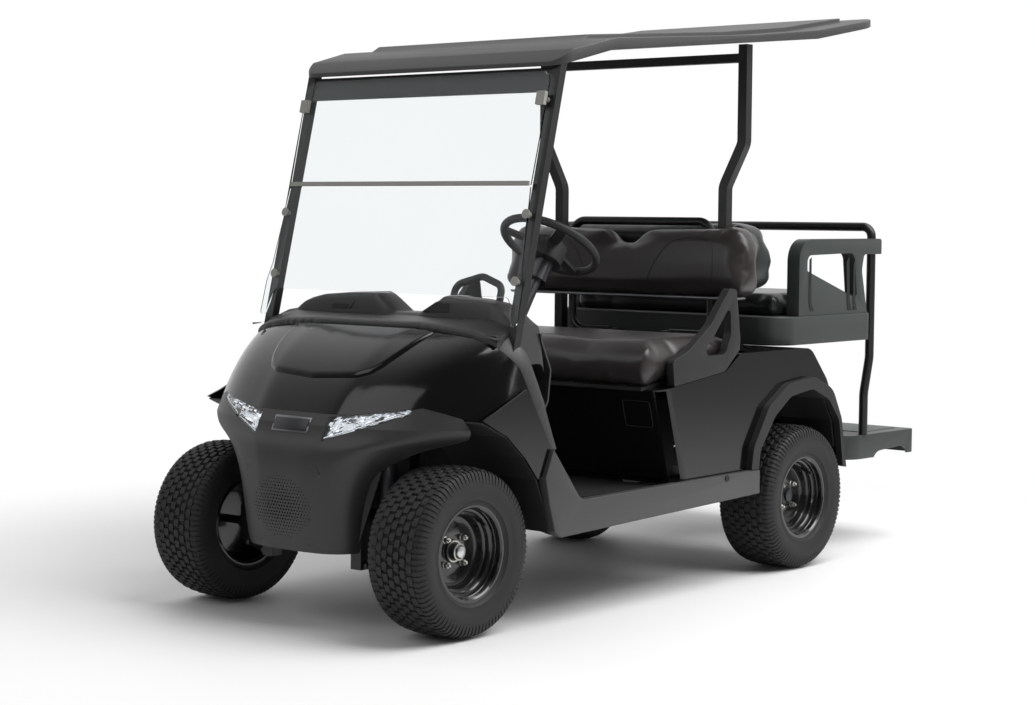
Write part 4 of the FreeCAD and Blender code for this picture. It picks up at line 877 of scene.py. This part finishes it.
@dataclass
class Nose:
    """The raised hood panel, the lamps' insides and the pierced grille.

    Attributes:
        rise: How far the hood's panel stands off the cowl, in millimetres.
        soft: How wide its rounded step is.
        half: Half its width.
        top: The height of its upper edge.
        seat: How far its edge stays off the cowl.
        outline: (X, height) points of its lower edge and sides.
        lamp_inner: A lamp's inner end, from the middle.
        lamp_length: A lamp's length along X.
        lamp_rows: Rows of facets up a lamp.
        lamp_columns: Columns of facets along it.
        bowls: (X, height, radius) of a lamp's round reflectors.
        badge: (half width, lower height, upper height, standing) of the badge's frame and plate.
        pitch: The spacing of the grille's holes.
        hole: The radius of its largest holes.
        grille_half: Half the width of the field of holes.
        grille_mid: The height of the field's middle.
        grille_rise: Half its height.
    """

    rise: float = 8.0
    soft: float = 14.0
    half: float = 290.0
    top: float = 858.0
    seat: float = 0.3
    outline: Sequence[Flat] = both_sides(((0.0, 716.0), (172.0, 726.0), (210.0, 738.0), (236.0, 760.0),
                                          (262.0, 796.0), (292.0, 850.0), (300.0, 872.0)))
    lamp_inner: float = 141.0
    lamp_length: float = 238.0
    lamp_rows: int = 9
    lamp_columns: int = 26
    bowls: Sequence[Point] = ((206.0, 585.0, 26.0), (292.0, 600.0, 20.0))
    badge: Sequence[Point] = ((74.0, 566.0, 610.0, 2.0), (68.0, 571.0, 605.0, 4.5))
    pitch: float = 11.2
    hole: float = 3.4
    grille_half: float = 118.0
    grille_mid: float = 352.0
    grille_rise: float = 92.0

    def brow(self, cowl: Thing, x: float) -> float:
        """The height of the panel's upper edge at one X, just inside the cowl's own edge."""
        top = self.top
        while top > 780.0 and not from_front(cowl, x, top + 4.0)[0]:
            top -= 2.0
        return top

    def hood(self, columns: int = 97, rows: int = 41) -> None:
        """Lays the raised panel over the cowl, its edge rolled down all round.

        Args:
            columns: Points across the panel.
            rows: Points up it.
        """
        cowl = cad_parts["front_cowl"]
        points = []
        for index in range(columns * rows):
            across, up = index % columns / (columns - 1), index // columns / (rows - 1)
            x = -self.half + 2 * self.half * across
            low = height_on(self.outline, x)
            z = low + (self.brow(cowl, x) - low) * up
            hit, place, normal = from_front(cowl, x, z)
            if not hit:
                place, normal = spot(x, 60, z), -REARWARD
            share = min(nearest_gap((x, z), self.outline) / self.soft, 1.0)
            lift = self.rise * math.sin(share * math.pi / 2) ** 0.8 + self.seat
            points.append(place + normal * lift * MM)
        panel = Bench.wall(Bench.sheet(columns, points), 2.5)
        Bench.done(panel, "hood_panel", Paint.GLOSS_BODY, "cart", 60)

    def lamp_edges(self, source: Thing, side: int) -> list[Point]:
        """Reads one lamp's lens: X, lower height and upper height, in millimetres."""
        edges = []
        for step in range(self.lamp_columns + 1):
            x = side * (self.lamp_inner + self.lamp_length * step / self.lamp_columns)
            hits = [z for z in range(544, 652, 2) if from_front(source, x, z)[0]]
            if len(hits) > 3:
                edges.append((x, hits[0] + 3.0, hits[-1] - 3.0))
        return edges

    def facet_depth(self, index: int, x: float, z: float) -> float:
        """How far behind the lens one corner of the facets lies: uneven, and hollow in the bowls."""
        back = 9.0 + 11.0 * abs(math.sin(index * 12.9898) * 43758.5453 % 1.0)
        for bowl_x, bowl_z, size in self.bowls:
            gap = math.hypot(abs(x) - bowl_x, z - bowl_z) / size
            if gap < 1.0:
                back = 12.0 + 22.0 * (1.0 - gap * gap)
        return back

    def lamps(self) -> None:
        """Models each lamp's clear lens, dark housing, faceted reflector, bowls and bright lower trim."""
        lenses = Bench.merged_node("headlights")
        reflectors, trims = [], []
        for side in (1, -1):
            edges = self.lamp_edges(lenses, side)
            points = []
            for index in range(len(edges) * (self.lamp_rows + 1)):
                x, low, high = edges[index % len(edges)]
                z = low + (high - low) * (index // len(edges)) / self.lamp_rows
                hit, place, _ = from_front(lenses, x, z)
                base = place if hit else spot(x, -100, z)
                points.append(base + REARWARD * self.facet_depth(index, x, z) * MM)
            reflectors.append(Bench.sheet(len(edges), points))
            falls = [from_front(lenses, x, low + 3) for x, low, _ in edges]
            trims.append(Bench.pipe("trim", [place + REARWARD * 5.0 * MM for hit, place, _ in falls if hit], 2.2))
        mirror = Bench.wall(Bench.join(reflectors), 1.0)
        Bench.done(mirror, "lamp_reflectors", Paint.REFLECTOR, "cart", 1)
        Bench.done(Bench.join(trims), "lamp_trims", Paint.CHROME, "cart", 60)
        housing = Bench.copy(lenses)
        Bench.shed(lenses, lambda normal: normal.y > -0.3)
        Bench.shed(housing, lambda normal: normal.y <= -0.3)
        Bench.wall(lenses, 2.2)
        Bench.wall(housing, 1.4)
        Bench.done(lenses, "lamp_lenses", Paint.LENS, "cart", 30, ["headlights"])
        Bench.done(housing, "lamp_housings", Paint.LINER, "cart", 30)

    def badges(self) -> None:
        """Sets the bare plate between the lamps on its dark band, with its bright frame, whose pale grey paints a
        highlight line round it.
        """
        covers = [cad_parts[name] for name in ("front_cowl", "front_fascia")]
        plates = []
        for half_x, low, high, out in self.badge:
            face = []
            for x, z in ((-half_x, low), (half_x, low), (half_x + 2, high), (-half_x - 2, high)):
                falls = [from_front(cover, x, z) for cover in covers]
                place = next((place for hit, place, _ in falls if hit), spot(x, -205, z))
                face.append(place - REARWARD * out * MM)
            plates.append(Bench.plate(face, REARWARD * 6.0 * MM, 1.6, 2))
        Bench.done(plates[0], "badge_frame", Paint.EDGE_HIGHLIGHT, "cart", 30)
        Bench.done(plates[1], "badge_plate", Paint.BADGE, "cart", 30)

    def grille(self, rows: int = 20, reach_columns: int = 12) -> None:
        """Pierces the grille panel with staggered holes that shrink towards its edges.

        Args:
            rows: Rows of holes.
            reach_columns: Columns to each side of the middle.
        """
        panel = Bench.merged_node("grille_panel")
        cutters = []
        for row in range(rows):
            z = 266.0 + row * self.pitch * 0.866
            for column in range(-reach_columns, reach_columns + 1):
                x = (column + (0.5 if row % 2 else 0.0)) * self.pitch
                reach = math.hypot(x / self.grille_half, (z - self.grille_mid) / self.grille_rise)
                hit, place, _ = from_front(panel, x, z)
                if reach > 1.0 or not hit:
                    continue
                radius = self.hole * (1.0 - 0.55 * max(reach - 0.35, 0.0) / 0.65)
                bpy.ops.mesh.primitive_cylinder_add(vertices=8, radius=radius * MM, depth=16 * MM, location=place,
                                                    rotation=(math.pi / 2, 0, 0))
                bpy.ops.object.transform_apply(location=True, rotation=True, scale=True)
                cutters.append(bpy.context.object)
        Bench.carve(panel, Bench.join(cutters))
        Bench.done(panel, "grille_pierced", Paint.SATIN_BODY, "cart", 30, ["grille_panel"])
        back = Bench.plate([spot(x, -186, z) for x, z in ((-128, 250), (128, 250), (132, 470), (-132, 470))],
                           REARWARD * 3.0 * MM, 1.0, 1)
        Bench.done(back, "grille_backing", Paint.LINER, "cart", 30)

    def build(self) -> None:
        """Makes the nose's pieces."""
        self.hood()
        self.lamps()
        self.badges()
        self.grille()


@dataclass
class Pad:
    """One foam cushion: its cover is swollen by cloth simulation inside the room of its CAD solid.

    Attributes:
        node: The CAD solid that it stands for.
        name: The piece's name.
        finish: Its cover.
        body: The body that it rides on.
        fill: How tight it is stuffed, from 0 to 1; not used.
        voxel: The cover's mesh size, in millimetres.
        start: How much smaller than the solid it starts.
        cap: The farthest that a point of the cover may move.
        grow: How far the swollen cover may pass the solid's box along X, Y and up.
        dish: How deep each seat is hollowed.
        dish_x: The seats' distance from the middle.
        dish_half: Half the width that a hollow spreads over.
        pressure: How hard the cover is blown up.
        frames: For how many frames.
    """

    node: str
    name: str
    finish: Finish
    body: str
    fill: float = 0.7
    voxel: float = 6.0
    start: float = 5.0
    cap: float = 24.0
    grow: Point = (4.0, 4.0, 8.0)
    dish: float = 0.0
    dish_x: float = 270.0
    dish_half: float = 130.0
    pressure: float = 4.0
    frames: int = 20

    def blank(self) -> Thing:
        """Makes the smaller start shape with an even mesh and its seats hollowed."""
        thing = Bench.merged_node(self.node)
        Bench.edit(thing)
        bpy.ops.transform.shrink_fatten(value=-self.start * MM)
        Bench.close()
        tool = thing.modifiers.new("even", "REMESH")
        tool.mode = "VOXEL"
        tool.voxel_size = self.voxel * MM
        Bench.apply(thing, tool)
        Bench.soften(thing, 10)
        low, high = self.room()
        for vertex in thing.data.vertices:
            share = (vertex.co.z - low.z) / (high.z - low.z)
            if self.dish and share > 0.4:
                along = (vertex.co.y - low.y) / (high.y - low.y)
                across = math.exp(-((abs(vertex.co.x) / MM - self.dish_x) / self.dish_half) ** 2)
                vertex.co.z -= self.dish * MM * share * across * math.sin(math.pi * min(max(along, 0.0), 1.0)) ** 0.7
        return thing

    def room(self) -> tuple[Vector, Vector]:
        """The CAD solid's box, in metres."""
        corners = [v.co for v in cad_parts[self.node].data.vertices]
        return tuple(Vector([pick(c[i] for c in corners) for i in range(3)]) for pick in (min, max))

    def swell(self, thing: Thing) -> None:
        """Blows the cover up and brings back what moved too far."""
        starts = [v.co.copy() for v in thing.data.vertices]
        cloth = thing.modifiers.new("cover", "CLOTH")
        cloth.settings.quality = 3
        cloth.settings.use_pressure = True
        cloth.settings.uniform_pressure_force = self.pressure
        cloth.settings.effector_weights.gravity = 0.0
        cloth.collision_settings.use_collision = False
        for step in range(1, self.frames + 1):
            bpy.context.scene.frame_set(step)
        Bench.apply(thing, cloth)
        bpy.context.scene.frame_set(1)
        for vertex, start in zip(thing.data.vertices, starts):
            move = vertex.co - start
            if move.length > self.cap * MM:
                vertex.co = start + move * (self.cap * MM / move.length)

    def build(self) -> Thing:
        thing = self.blank()
        self.swell(thing)
        low, high = self.room()
        low -= Vector((self.grow[0], self.grow[1], 0.0)) * MM
        high += Vector(self.grow) * MM
        for vertex in thing.data.vertices:
            vertex.co = [min(max(vertex.co[i], low[i]), high[i]) for i in range(3)]
        Bench.soften(thing, 22)
        Bench.done(thing, self.name, self.finish, self.body, 60, [self.node])
        return thing


@dataclass
class Upholstery:
    """The four cushions and the welts of the front seat's back.

    Attributes:
        welt_radius: A welt's radius, in millimetres.
        welt_step: The distance between the points that carry it.
        arch: (X, height) points of the arch sewn into each seat's back.
    """

    welt_radius: float = 1.1
    welt_step: float = 9.0
    arch: Sequence[Flat] = ((120, 965), (146, 1020), (186, 1082), (226, 1116), (276, 1126), (330, 1126), (372, 1118),
                            (392, 1096), (398, 1050), (400, 962))

    def welt(self, name: str, pad: Thing, points: Sequence[Point]) -> None:
        """Lays a fine welt on a cushion's front.

        Args:
            name: The piece's name.
            pad: The cushion.
            points: X, distance behind the front axle and height of points ahead of it, in millimetres.
        """
        corners = [spot(*point) for point in points]
        line = []
        for start, end in zip(corners, corners[1:]):
            count = max(round((end - start).length / (self.welt_step * MM)), 1)
            for step in range(count):
                hit, place, normal, _ = pad.ray_cast(start.lerp(end, step / count), REARWARD)
                if hit:
                    line.append(place + normal * self.welt_radius * 0.5 * MM)
        Bench.done(Bench.pipe(name, line, self.welt_radius), name, Paint.WELT, "cart", 60)

    def build(self) -> None:
        """Makes the pads, then what is sewn into them."""
        Pad("seat_cushion", "front_bench_cushion", Paint.SEAT, "seat_lid", dish=16.0).build()
        back = Pad("seat_back", "front_bench_back", Paint.SEAT, "cart", cap=22.0).build()
        Pad("rear_backrest", "rear_bench_back", Paint.REAR_SEAT, "cart", cap=22.0).build()
        Pad("rear_seat_cushion", "rear_bench_cushion", Paint.REAR_SEAT, "cart", cap=22.0, grow=(0.0, 0.0, 8.0)).build()
        for hand in Hand:
            self.welt(f"back_arch_{hand.name.lower()}", back, [(hand.value * x, 1300, z) for x, z in self.arch])


@dataclass
class Dash:
    """The dash's moulded top: a rolled lip along the hood, two humps, pockets and the valley between.

    Attributes:
        half: Half its width, in millimetres.
        columns: How many columns its skin has.
        deck: The height of the flat between the humps.
        deck_half: Where the deck starts to fall away.
        deck_fall: How steeply it falls.
        skirt: How far the skin's outer columns hang down.
        cut: The height below which the CAD dash stays.
        front_edge: The hood's rear edge from above down: distance behind the axle and height.
        back_edge: The edge of the cabin's opening from above down.
        crest: (X, height) points of the humps' outline from right to left.
        pocket_shapes: (X, height) outlines of the painted shade in the slot, the diagonal notch and the binnacle's
            pocket.
    """

    half: float = 506.0
    columns: int = 134
    deck: float = 893.0
    deck_half: float = 400.0
    deck_fall: float = 0.24
    skirt: float = 110.0
    cut: float = 852.0
    front_edge: Sequence[Flat] = ((146.0, 818.0), (168.0, 796.0), (206.0, 752.0), (240.0, 645.0), (274.0, 590.0),
                                  (311.0, 520.0))
    back_edge: Sequence[Flat] = ((206.0, 866.0), (250.0, 800.0), (272.0, 722.0), (297.0, 633.0), (334.0, 542.0),
                                 (346.0, 515.0))
    crest: Sequence[Flat] = (
        (-536.0, 858.0), (-506.0, 874.0), (-460.0, 893.0), (-415.0, 900.0), (-388.0, 922.0), (-350.0, 936.0),
        (-307.0, 946.0), (-197.0, 955.0), (-81.0, 959.0), (-55.0, 944.0), (8.0, 902.0), (109.0, 902.0), (183.0, 942.0),
        (207.0, 957.0), (243.0, 953.0), (330.0, 948.0), (400.0, 938.0), (440.0, 918.0), (470.0, 896.0),
        (506.0, 874.0), (536.0, 858.0))
    pocket_shapes: Sequence[Sequence[Flat]] = (
        ((-252, 905), (-186, 905), (-186, 919), (-252, 920)), ((-180, 904), (-146, 948), (-134, 952), (-172, 904)),
        ((128, 906), (236, 906), (236, 934), (206, 938), (178, 936)))

    def hood_edge(self, x: float) -> Flat:
        """The hood's upper edge at one X: distance behind the axle and height."""
        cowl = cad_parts["front_cowl"]
        for z in range(868, 640, -2):
            hit, place, _ = from_front(cowl, x, z)
            if hit:
                return place.y / MM - AXLE_Y, float(z)
        return 130.0, 800.0

    def section(self, x: float) -> list[Flat]:
        """One fore-and-aft section of the skin: distances behind the axle with heights."""
        edge_y, edge_z = self.hood_edge(x)
        crest = height_on(self.crest, x)
        base = min(crest - 2.0, self.deck - max(abs(x) - self.deck_half, 0.0) * self.deck_fall)
        lip = [(edge_y + 4, edge_z - 5), (edge_y + 3, edge_z + 3), (edge_y + 3, edge_z + 11), (edge_y + 7, edge_z + 18),
               (edge_y + 16, edge_z + 22), (edge_y + 30, edge_z + 24)]
        foot = max(edge_y + 60, 214.0)
        rise = crest - base
        back = [(foot, base - 1), (foot + 22, base), (foot + 27, base + rise * 0.35), (foot + 33, base + rise * 0.8),
                (foot + 40, base + rise * 0.96), (foot + 54, crest), (330, crest), (341, crest - 5),
                (347, crest - 16), (350, 850)]
        return lip + back

    def skin(self) -> None:
        """Moulds the top."""
        across = [-self.half + 2 * self.half * column / self.columns for column in range(self.columns + 1)]
        sections = [self.section(x) for x in across]
        points = []
        for row in range(len(sections[0])):
            for column, x in enumerate(across):
                y, z = sections[column][row]
                if column in (0, self.columns):
                    x, z = x * 1.016, z - self.skirt
                points.append(spot(x, y, z))
        top = Bench.wall(Bench.sheet(len(across), points), 3.0)
        Bench.done(top, "dash_top", Paint.SATIN_BODY, "cart", 40)

    def lower(self) -> None:
        """Keeps the CAD dash below the top, without what would stand past the side panels."""
        lower = Bench.merged_node("dashboard")
        Bench.edit(lower)
        bpy.ops.mesh.bisect(plane_co=spot(0, 0, self.cut), plane_no=(0, 0, 1), use_fill=True, clear_outer=True)
        Bench.close()
        edge = [(90, 556), (430, 556), (430, 900), (90, 900)]
        corners = [Bench.plate([spot(side * 509, y, z) for y, z in edge], Vector((side * 120, 0, 0)) * MM)
                   for side in (1, -1)]
        Bench.carve(lower, Bench.join(corners))
        Bench.done(lower, "dash_lower", Paint.SATIN_BODY, "cart", 25, ["dashboard"])

    def shoulder(self, side: int, steps: int = 24) -> Thing:
        """Moulds one side panel between the hood's rear edge and the cabin's opening.

        Args:
            side: The sign of X.
            steps: How many steps the panel has from above down.

        Returns:
            The panel.
        """
        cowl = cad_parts["front_cowl"]
        inside = 505.0
        lines = []
        for step in range(steps + 1):
            front, back = on_chain(self.front_edge, step / steps), on_chain(self.back_edge, step / steps)
            hit, place, _, _ = cowl.ray_cast(spot(side * 900, front[0] - 7, front[1]), Vector((-side, 0, 0)))
            if hit and abs(place.x) > 0.45:
                inside = abs(place.x) / MM
            lines.append([(side * (inside - tuck), front[0] + (back[0] - front[0]) * u,
                           front[1] + (back[1] - front[1]) * u)
                          for tuck, u in ((3, 0.0), (1, 0.12), (1, 0.6), (4, 0.86), (12, 1.0), (46, 1.02))])
        panel = Bench.sheet(steps + 1, [spot(*line[row]) for row in range(len(lines[0])) for line in lines])
        if sum(face.normal.x for face in panel.data.polygons) * side < 0:
            Bench.edit(panel)
            bpy.ops.mesh.flip_normals()
            Bench.close()
        return Bench.wall(panel, 3.0)

    def pockets(self) -> None:
        """Sets near-black plates into the humps' front as painted shade in the slot, the diagonal notch and the
        binnacle's pocket.
        """
        plates = [Bench.plate([spot(x, 240 + max(z - 905, 0) * 0.28 - 3, z) for x, z in outline],
                              Vector((0, 9.0, 2.0)) * MM, 0.8, 1) for outline in self.pocket_shapes]
        # Near-black plates: painted shade inside the dash's pockets.
        Bench.done(Bench.join(plates), "dash_pockets", Paint.POCKET_SHADE, "cart", 30)

    def build(self) -> None:
        """Makes the dash's pieces."""
        self.skin()
        self.lower()
        Bench.done(Bench.join([self.shoulder(1), self.shoulder(-1)]), "dash_shoulders", Paint.SATIN_BODY, "cart", 40)
        self.pockets()


@dataclass
class Edges:
    """Rigid mouldings with their edges rounded as the moulds leave them.

    Attributes:
        widths: How wide each node's edges are rounded, in millimetres.
    """

    widths: Sequence[tuple[str, float]] = (("roof", 7.0), ("rocker_panels", 3.0), ("rear_seat_tub", 4.0),
                                           ("rear_armrests", 5.0), ("footplate", 3.0), ("hip_restraints", 3.0))

    def build(self) -> None:
        """Rounds each node's edges on a copy that takes its place."""
        for node, width in self.widths:
            thing = Bench.merged_node(node)
            Bench.edit(thing)
            bpy.ops.mesh.dissolve_limited(angle_limit=math.radians(1.5))
            Bench.close()
            Bench.bevel(thing, width, 3, 25)
            Bench.done(thing, f"{node}_rounded", NODE_FINISH[node], "cart", 35, [node])


@dataclass
class Trim:
    """Small fitted pieces: nose side panels, painted shade in the armrest channels, cover outline, a pale strip under
    the seat's back that paints a highlight line, and rocker plugs.

    Attributes:
        nose_side: X, distance behind the front axle and height of the left nose panel's corners.
        channels: (Distance behind the front axle, height) outlines of the painted shade in an armrest's channels.
        cover: (X, height) points of the access cover's outline.
    """

    nose_side: Sequence[Point] = ((150, -148, 238), (214, -124, 238), (222, -120, 262), (284, -97, 462),
                                  (276, -100, 474), (200, -129, 474))
    channels: Sequence[Sequence[Flat]] = (
        ((1806, 1052), (1820, 1060), (1822, 900), (1840, 872), (1818, 872), (1806, 900)),
        ((2052, 1040), (2070, 1060), (2078, 900), (2092, 868), (2066, 868), (2060, 900)),
        ((2100, 1030), (2112, 1050), (2116, 900), (2128, 868), (2104, 868), (2100, 900)))
    cover: Sequence[Flat] = ((412, 534), (408, 538), (408, 612), (413, 618), (510, 618), (515, 612), (515, 538),
                             (510, 534))

    def nose_sides(self) -> None:
        """Sets the dark panels that face forward behind the fascia's leaning edges."""
        panels = [Bench.plate([spot(hand.value * x, y, z) for x, y, z in self.nose_side], REARWARD * 5.0 * MM, 1.5, 2)
                  for hand in Hand]
        Bench.done(Bench.join(panels), "nose_side_panels", Paint.LINER, "cart", 30)

    def armrests(self) -> None:
        """Paints the shade in the armrests' channels as near-black plates on their outer faces."""
        # Near-black plates: painted shade inside the armrests' channels.
        channels = [Bench.plate([spot(hand.value * 507.2, y, z) for y, z in outline],
                                Vector((hand.value * 1.6, 0, 0)) * MM, 0.6, 1)
                    for hand in Hand for outline in self.channels]
        Bench.done(Bench.join(channels), "armrest_channels", Paint.POCKET_SHADE, "cart", 30)

    def pod(self) -> None:
        """Draws the access cover's outline, sets the pale strip that paints a highlight line under the seat's back, and
        sets the rocker's plugs.
        """
        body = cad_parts["rear_body"]
        falls = [body.ray_cast(spot(x, 400, z), REARWARD) for x, z in self.cover]
        outline = Bench.pipe("outline", [place for hit, place, _, _ in falls if hit], 0.9, True)
        Bench.done(outline, "access_cover_outline", Paint.BATTERY, "cart", 60)
        # A pale metal strip: a painted highlight line along the seat back's lower edge.
        strip = Bench.plate([spot(x, 1384, z) for x, z in ((-486, 920), (486, 920), (492, 929), (-492, 929))],
                            REARWARD * 60.0 * MM, 3.0, 3)
        Bench.done(strip, "seat_back_lower_trim", Paint.EDGE_HIGHLIGHT, "cart", 30)
        plugs = [Bench.turned([(0, 0), (0, 11), (2, 11), (3, 8), (1.6, 6), (1.6, 0)],
                              spot(hand.value * 590.5, 1200, 352), AXLE_WAY * hand.value, 24) for hand in Hand]
        Bench.done(Bench.join(plugs), "rocker_plugs", Paint.LINER, "cart", 30)

    def build(self) -> None:
        """Makes all the trim."""
        self.nose_sides()
        self.armrests()
        self.pod()


@dataclass
class Studio:
    """A pale floor, soft lamps and the photograph's camera.

    Attributes:
        lens: Focal length in millimetres on a 36 mm wide film.
        eye: The camera's place: X, distance behind the front axle and height, in millimetres.
        heading: Degrees that the view turns from straight rearward, towards the cart's right.
        dip: Degrees that the view looks down.
        roll: Degrees that the camera leans.
        near_wall: How bright the room is behind the camera.
        far_wall: How bright it is behind the cart.
        fade: Where the floor starts and ends to fade to white, in metres from the middle.
        lamps: Each lamp's name, place, aim, width, watts and height, in metres.
    """

    lens: float = 72.983
    eye: Point = (4404.912, -4413.755, 1204.496)
    heading: float = 39.965
    dip: float = 3.803
    roll: float = 0.459
    near_wall: float = 0.1
    far_wall: float = 1.0
    fade: Flat = (1.5, 3.0)
    lamps: Sequence[tuple[str, Point, Point, float, float, float]] = (
        ("key", (4.2, 1.6, 3.4), (0, 0, 0.7), 2.4, 60.0, 2.4),
        ("fill", (-1.0, -4.8, 3.8), (0, -1.0, 0.0), 3.0, 40.0, 3.0),
        ("strip", (5.2, -4.0, 1.3), (0.5, -0.3, 0.7), 0.5, 14.0, 2.4),
        ("top", (2.2, 0.7, 4.8), (0.2, 0, 0.8), 4.0, 260.0, 4.0))

    def camera(self) -> None:
        """Sets the camera where the photograph was taken from."""
        data = bpy.data.cameras.new("camera")
        data.lens = self.lens
        data.sensor_width = 36.0
        data.clip_end = 100.0
        camera = bpy.data.objects.new("camera", data)
        bpy.context.scene.collection.objects.link(camera)
        turn, fall = math.radians(self.heading), math.radians(self.dip)
        ahead = Vector((-math.sin(turn) * math.cos(fall), math.cos(turn) * math.cos(fall), -math.sin(fall)))
        right = ahead.cross(Vector((0, 0, 1))).normalized()
        up = right.cross(ahead)
        lean = math.radians(self.roll)
        right, up = right * math.cos(lean) + up * math.sin(lean), up * math.cos(lean) - right * math.sin(lean)
        pose = Matrix((right, up, -ahead)).transposed().to_4x4()
        pose.translation = spot(*self.eye)
        camera.matrix_world = pose
        bpy.context.scene.camera = camera

    def lamp(self, name: str, place: Point, aim: Point, size: float, watts: float, tall: float) -> None:
        """Adds one soft lamp.

        Args:
            name: The lamp's name.
            place: Where it hangs, in metres.
            aim: What it points at, in metres.
            size: Its width, in metres.
            watts: Its power.
            tall: Its height, in metres.
        """
        data = bpy.data.lights.new(name, "AREA")
        data.shape = "RECTANGLE"
        data.size = size
        data.size_y = tall
        data.energy = watts
        lamp = bpy.data.objects.new(name, data)
        bpy.context.scene.collection.objects.link(lamp)
        lamp.location = place
        lamp.rotation_euler = (Vector(aim) - Vector(place)).to_track_quat("-Z", "Y").to_euler()

    def seen(self, tree: bpy.types.NodeTree) -> bpy.types.NodeSocket:
        """Adds a switch that is 1 for what the camera sees, also through glass."""
        path = add_node(tree, "ShaderNodeLightPath")
        either = add_node(tree, "ShaderNodeMath", {"operation": "MAXIMUM"}, {
            0: path.outputs["Is Camera Ray"], 1: path.outputs["Is Transmission Ray"]})
        return either.outputs["Value"]

    def floor(self) -> None:
        """Lays the pale floor, which the camera sees fade to white."""
        bpy.ops.mesh.primitive_plane_add(size=60, location=(0, 0, 0))
        floor = bpy.context.object
        floor.name = "floor"
        material = bpy.data.materials.new("studio_floor")
        material.use_nodes = True
        tree = material.node_tree
        shader = tree.nodes["Principled BSDF"]
        shader.inputs["Base Color"].default_value = linear("F2F2F2")
        shader.inputs["Roughness"].default_value = 0.6
        place = add_node(tree, "ShaderNodeTexCoord").outputs["Object"]
        reach = add_node(tree, "ShaderNodeVectorMath", {"operation": "LENGTH"}, {0: place})
        far = add_node(tree, "ShaderNodeMapRange", {"interpolation_type": "SMOOTHSTEP"}, {
            "Value": reach.outputs["Value"], "From Min": self.fade[0], "From Max": self.fade[1]})
        share = add_node(tree, "ShaderNodeMath", {"operation": "MULTIPLY"}, {
            0: far.outputs["Result"], 1: self.seen(tree)})
        glow = add_node(tree, "ShaderNodeEmission", inputs={"Color": linear("FFFFFF"), "Strength": 1.0})
        blend = add_node(tree, "ShaderNodeMixShader", inputs={
            0: share.outputs["Value"], 1: shader.outputs["BSDF"], 2: glow.outputs["Emission"]})
        tree.links.new(blend.outputs["Shader"], tree.nodes["Material Output"].inputs["Surface"])
        floor.data.materials.append(material)

    def walls(self) -> None:
        """Lights the room: bright behind the cart, dim behind the camera, and white where it is seen."""
        world = bpy.data.worlds.new("world")
        world.use_nodes = True
        bpy.context.scene.world = world
        tree = world.node_tree
        back = tree.nodes["Background"]
        back.inputs["Color"].default_value = linear("FFFFFF")
        way = add_node(tree, "ShaderNodeTexCoord").outputs["Generated"]
        turn = math.radians(self.heading)
        along = add_node(tree, "ShaderNodeVectorMath", {"operation": "DOT_PRODUCT"}, {
            0: way, 1: (-math.sin(turn), math.cos(turn), 0.0)})
        room = add_node(tree, "ShaderNodeMapRange", {"interpolation_type": "SMOOTHSTEP"}, {
            "Value": along.outputs["Value"], "From Min": -0.35, "From Max": 0.75, "To Min": self.near_wall,
            "To Max": self.far_wall})
        strength = add_node(tree, "ShaderNodeMix", {"data_type": "FLOAT"}, {
            "Factor": self.seen(tree), "A": room.outputs["Result"], "B": 1.0})
        tree.links.new(strength.outputs["Result"], back.inputs["Strength"])

    def build(self) -> None:
        """Makes the camera, lamps, floor and background."""
        self.camera()
        self.floor()
        self.walls()
        for lamp in self.lamps:
            self.lamp(*lamp)
        bpy.context.scene.view_settings.view_transform = "Standard"
        log.info("studio ready")


def main() -> None:
    """Builds the cart's looks in order."""
    logging.basicConfig(level=logging.INFO, format="%(message)s")
    bpy.ops.object.select_all(action="DESELECT")
    dress_nodes()
    RunningGear().build()
    Nose().build()
    Dash().build()
    Edges().build()
    Trim().build()
    Upholstery().build()
    Studio().build()


if __name__ == "__main__":
    main()
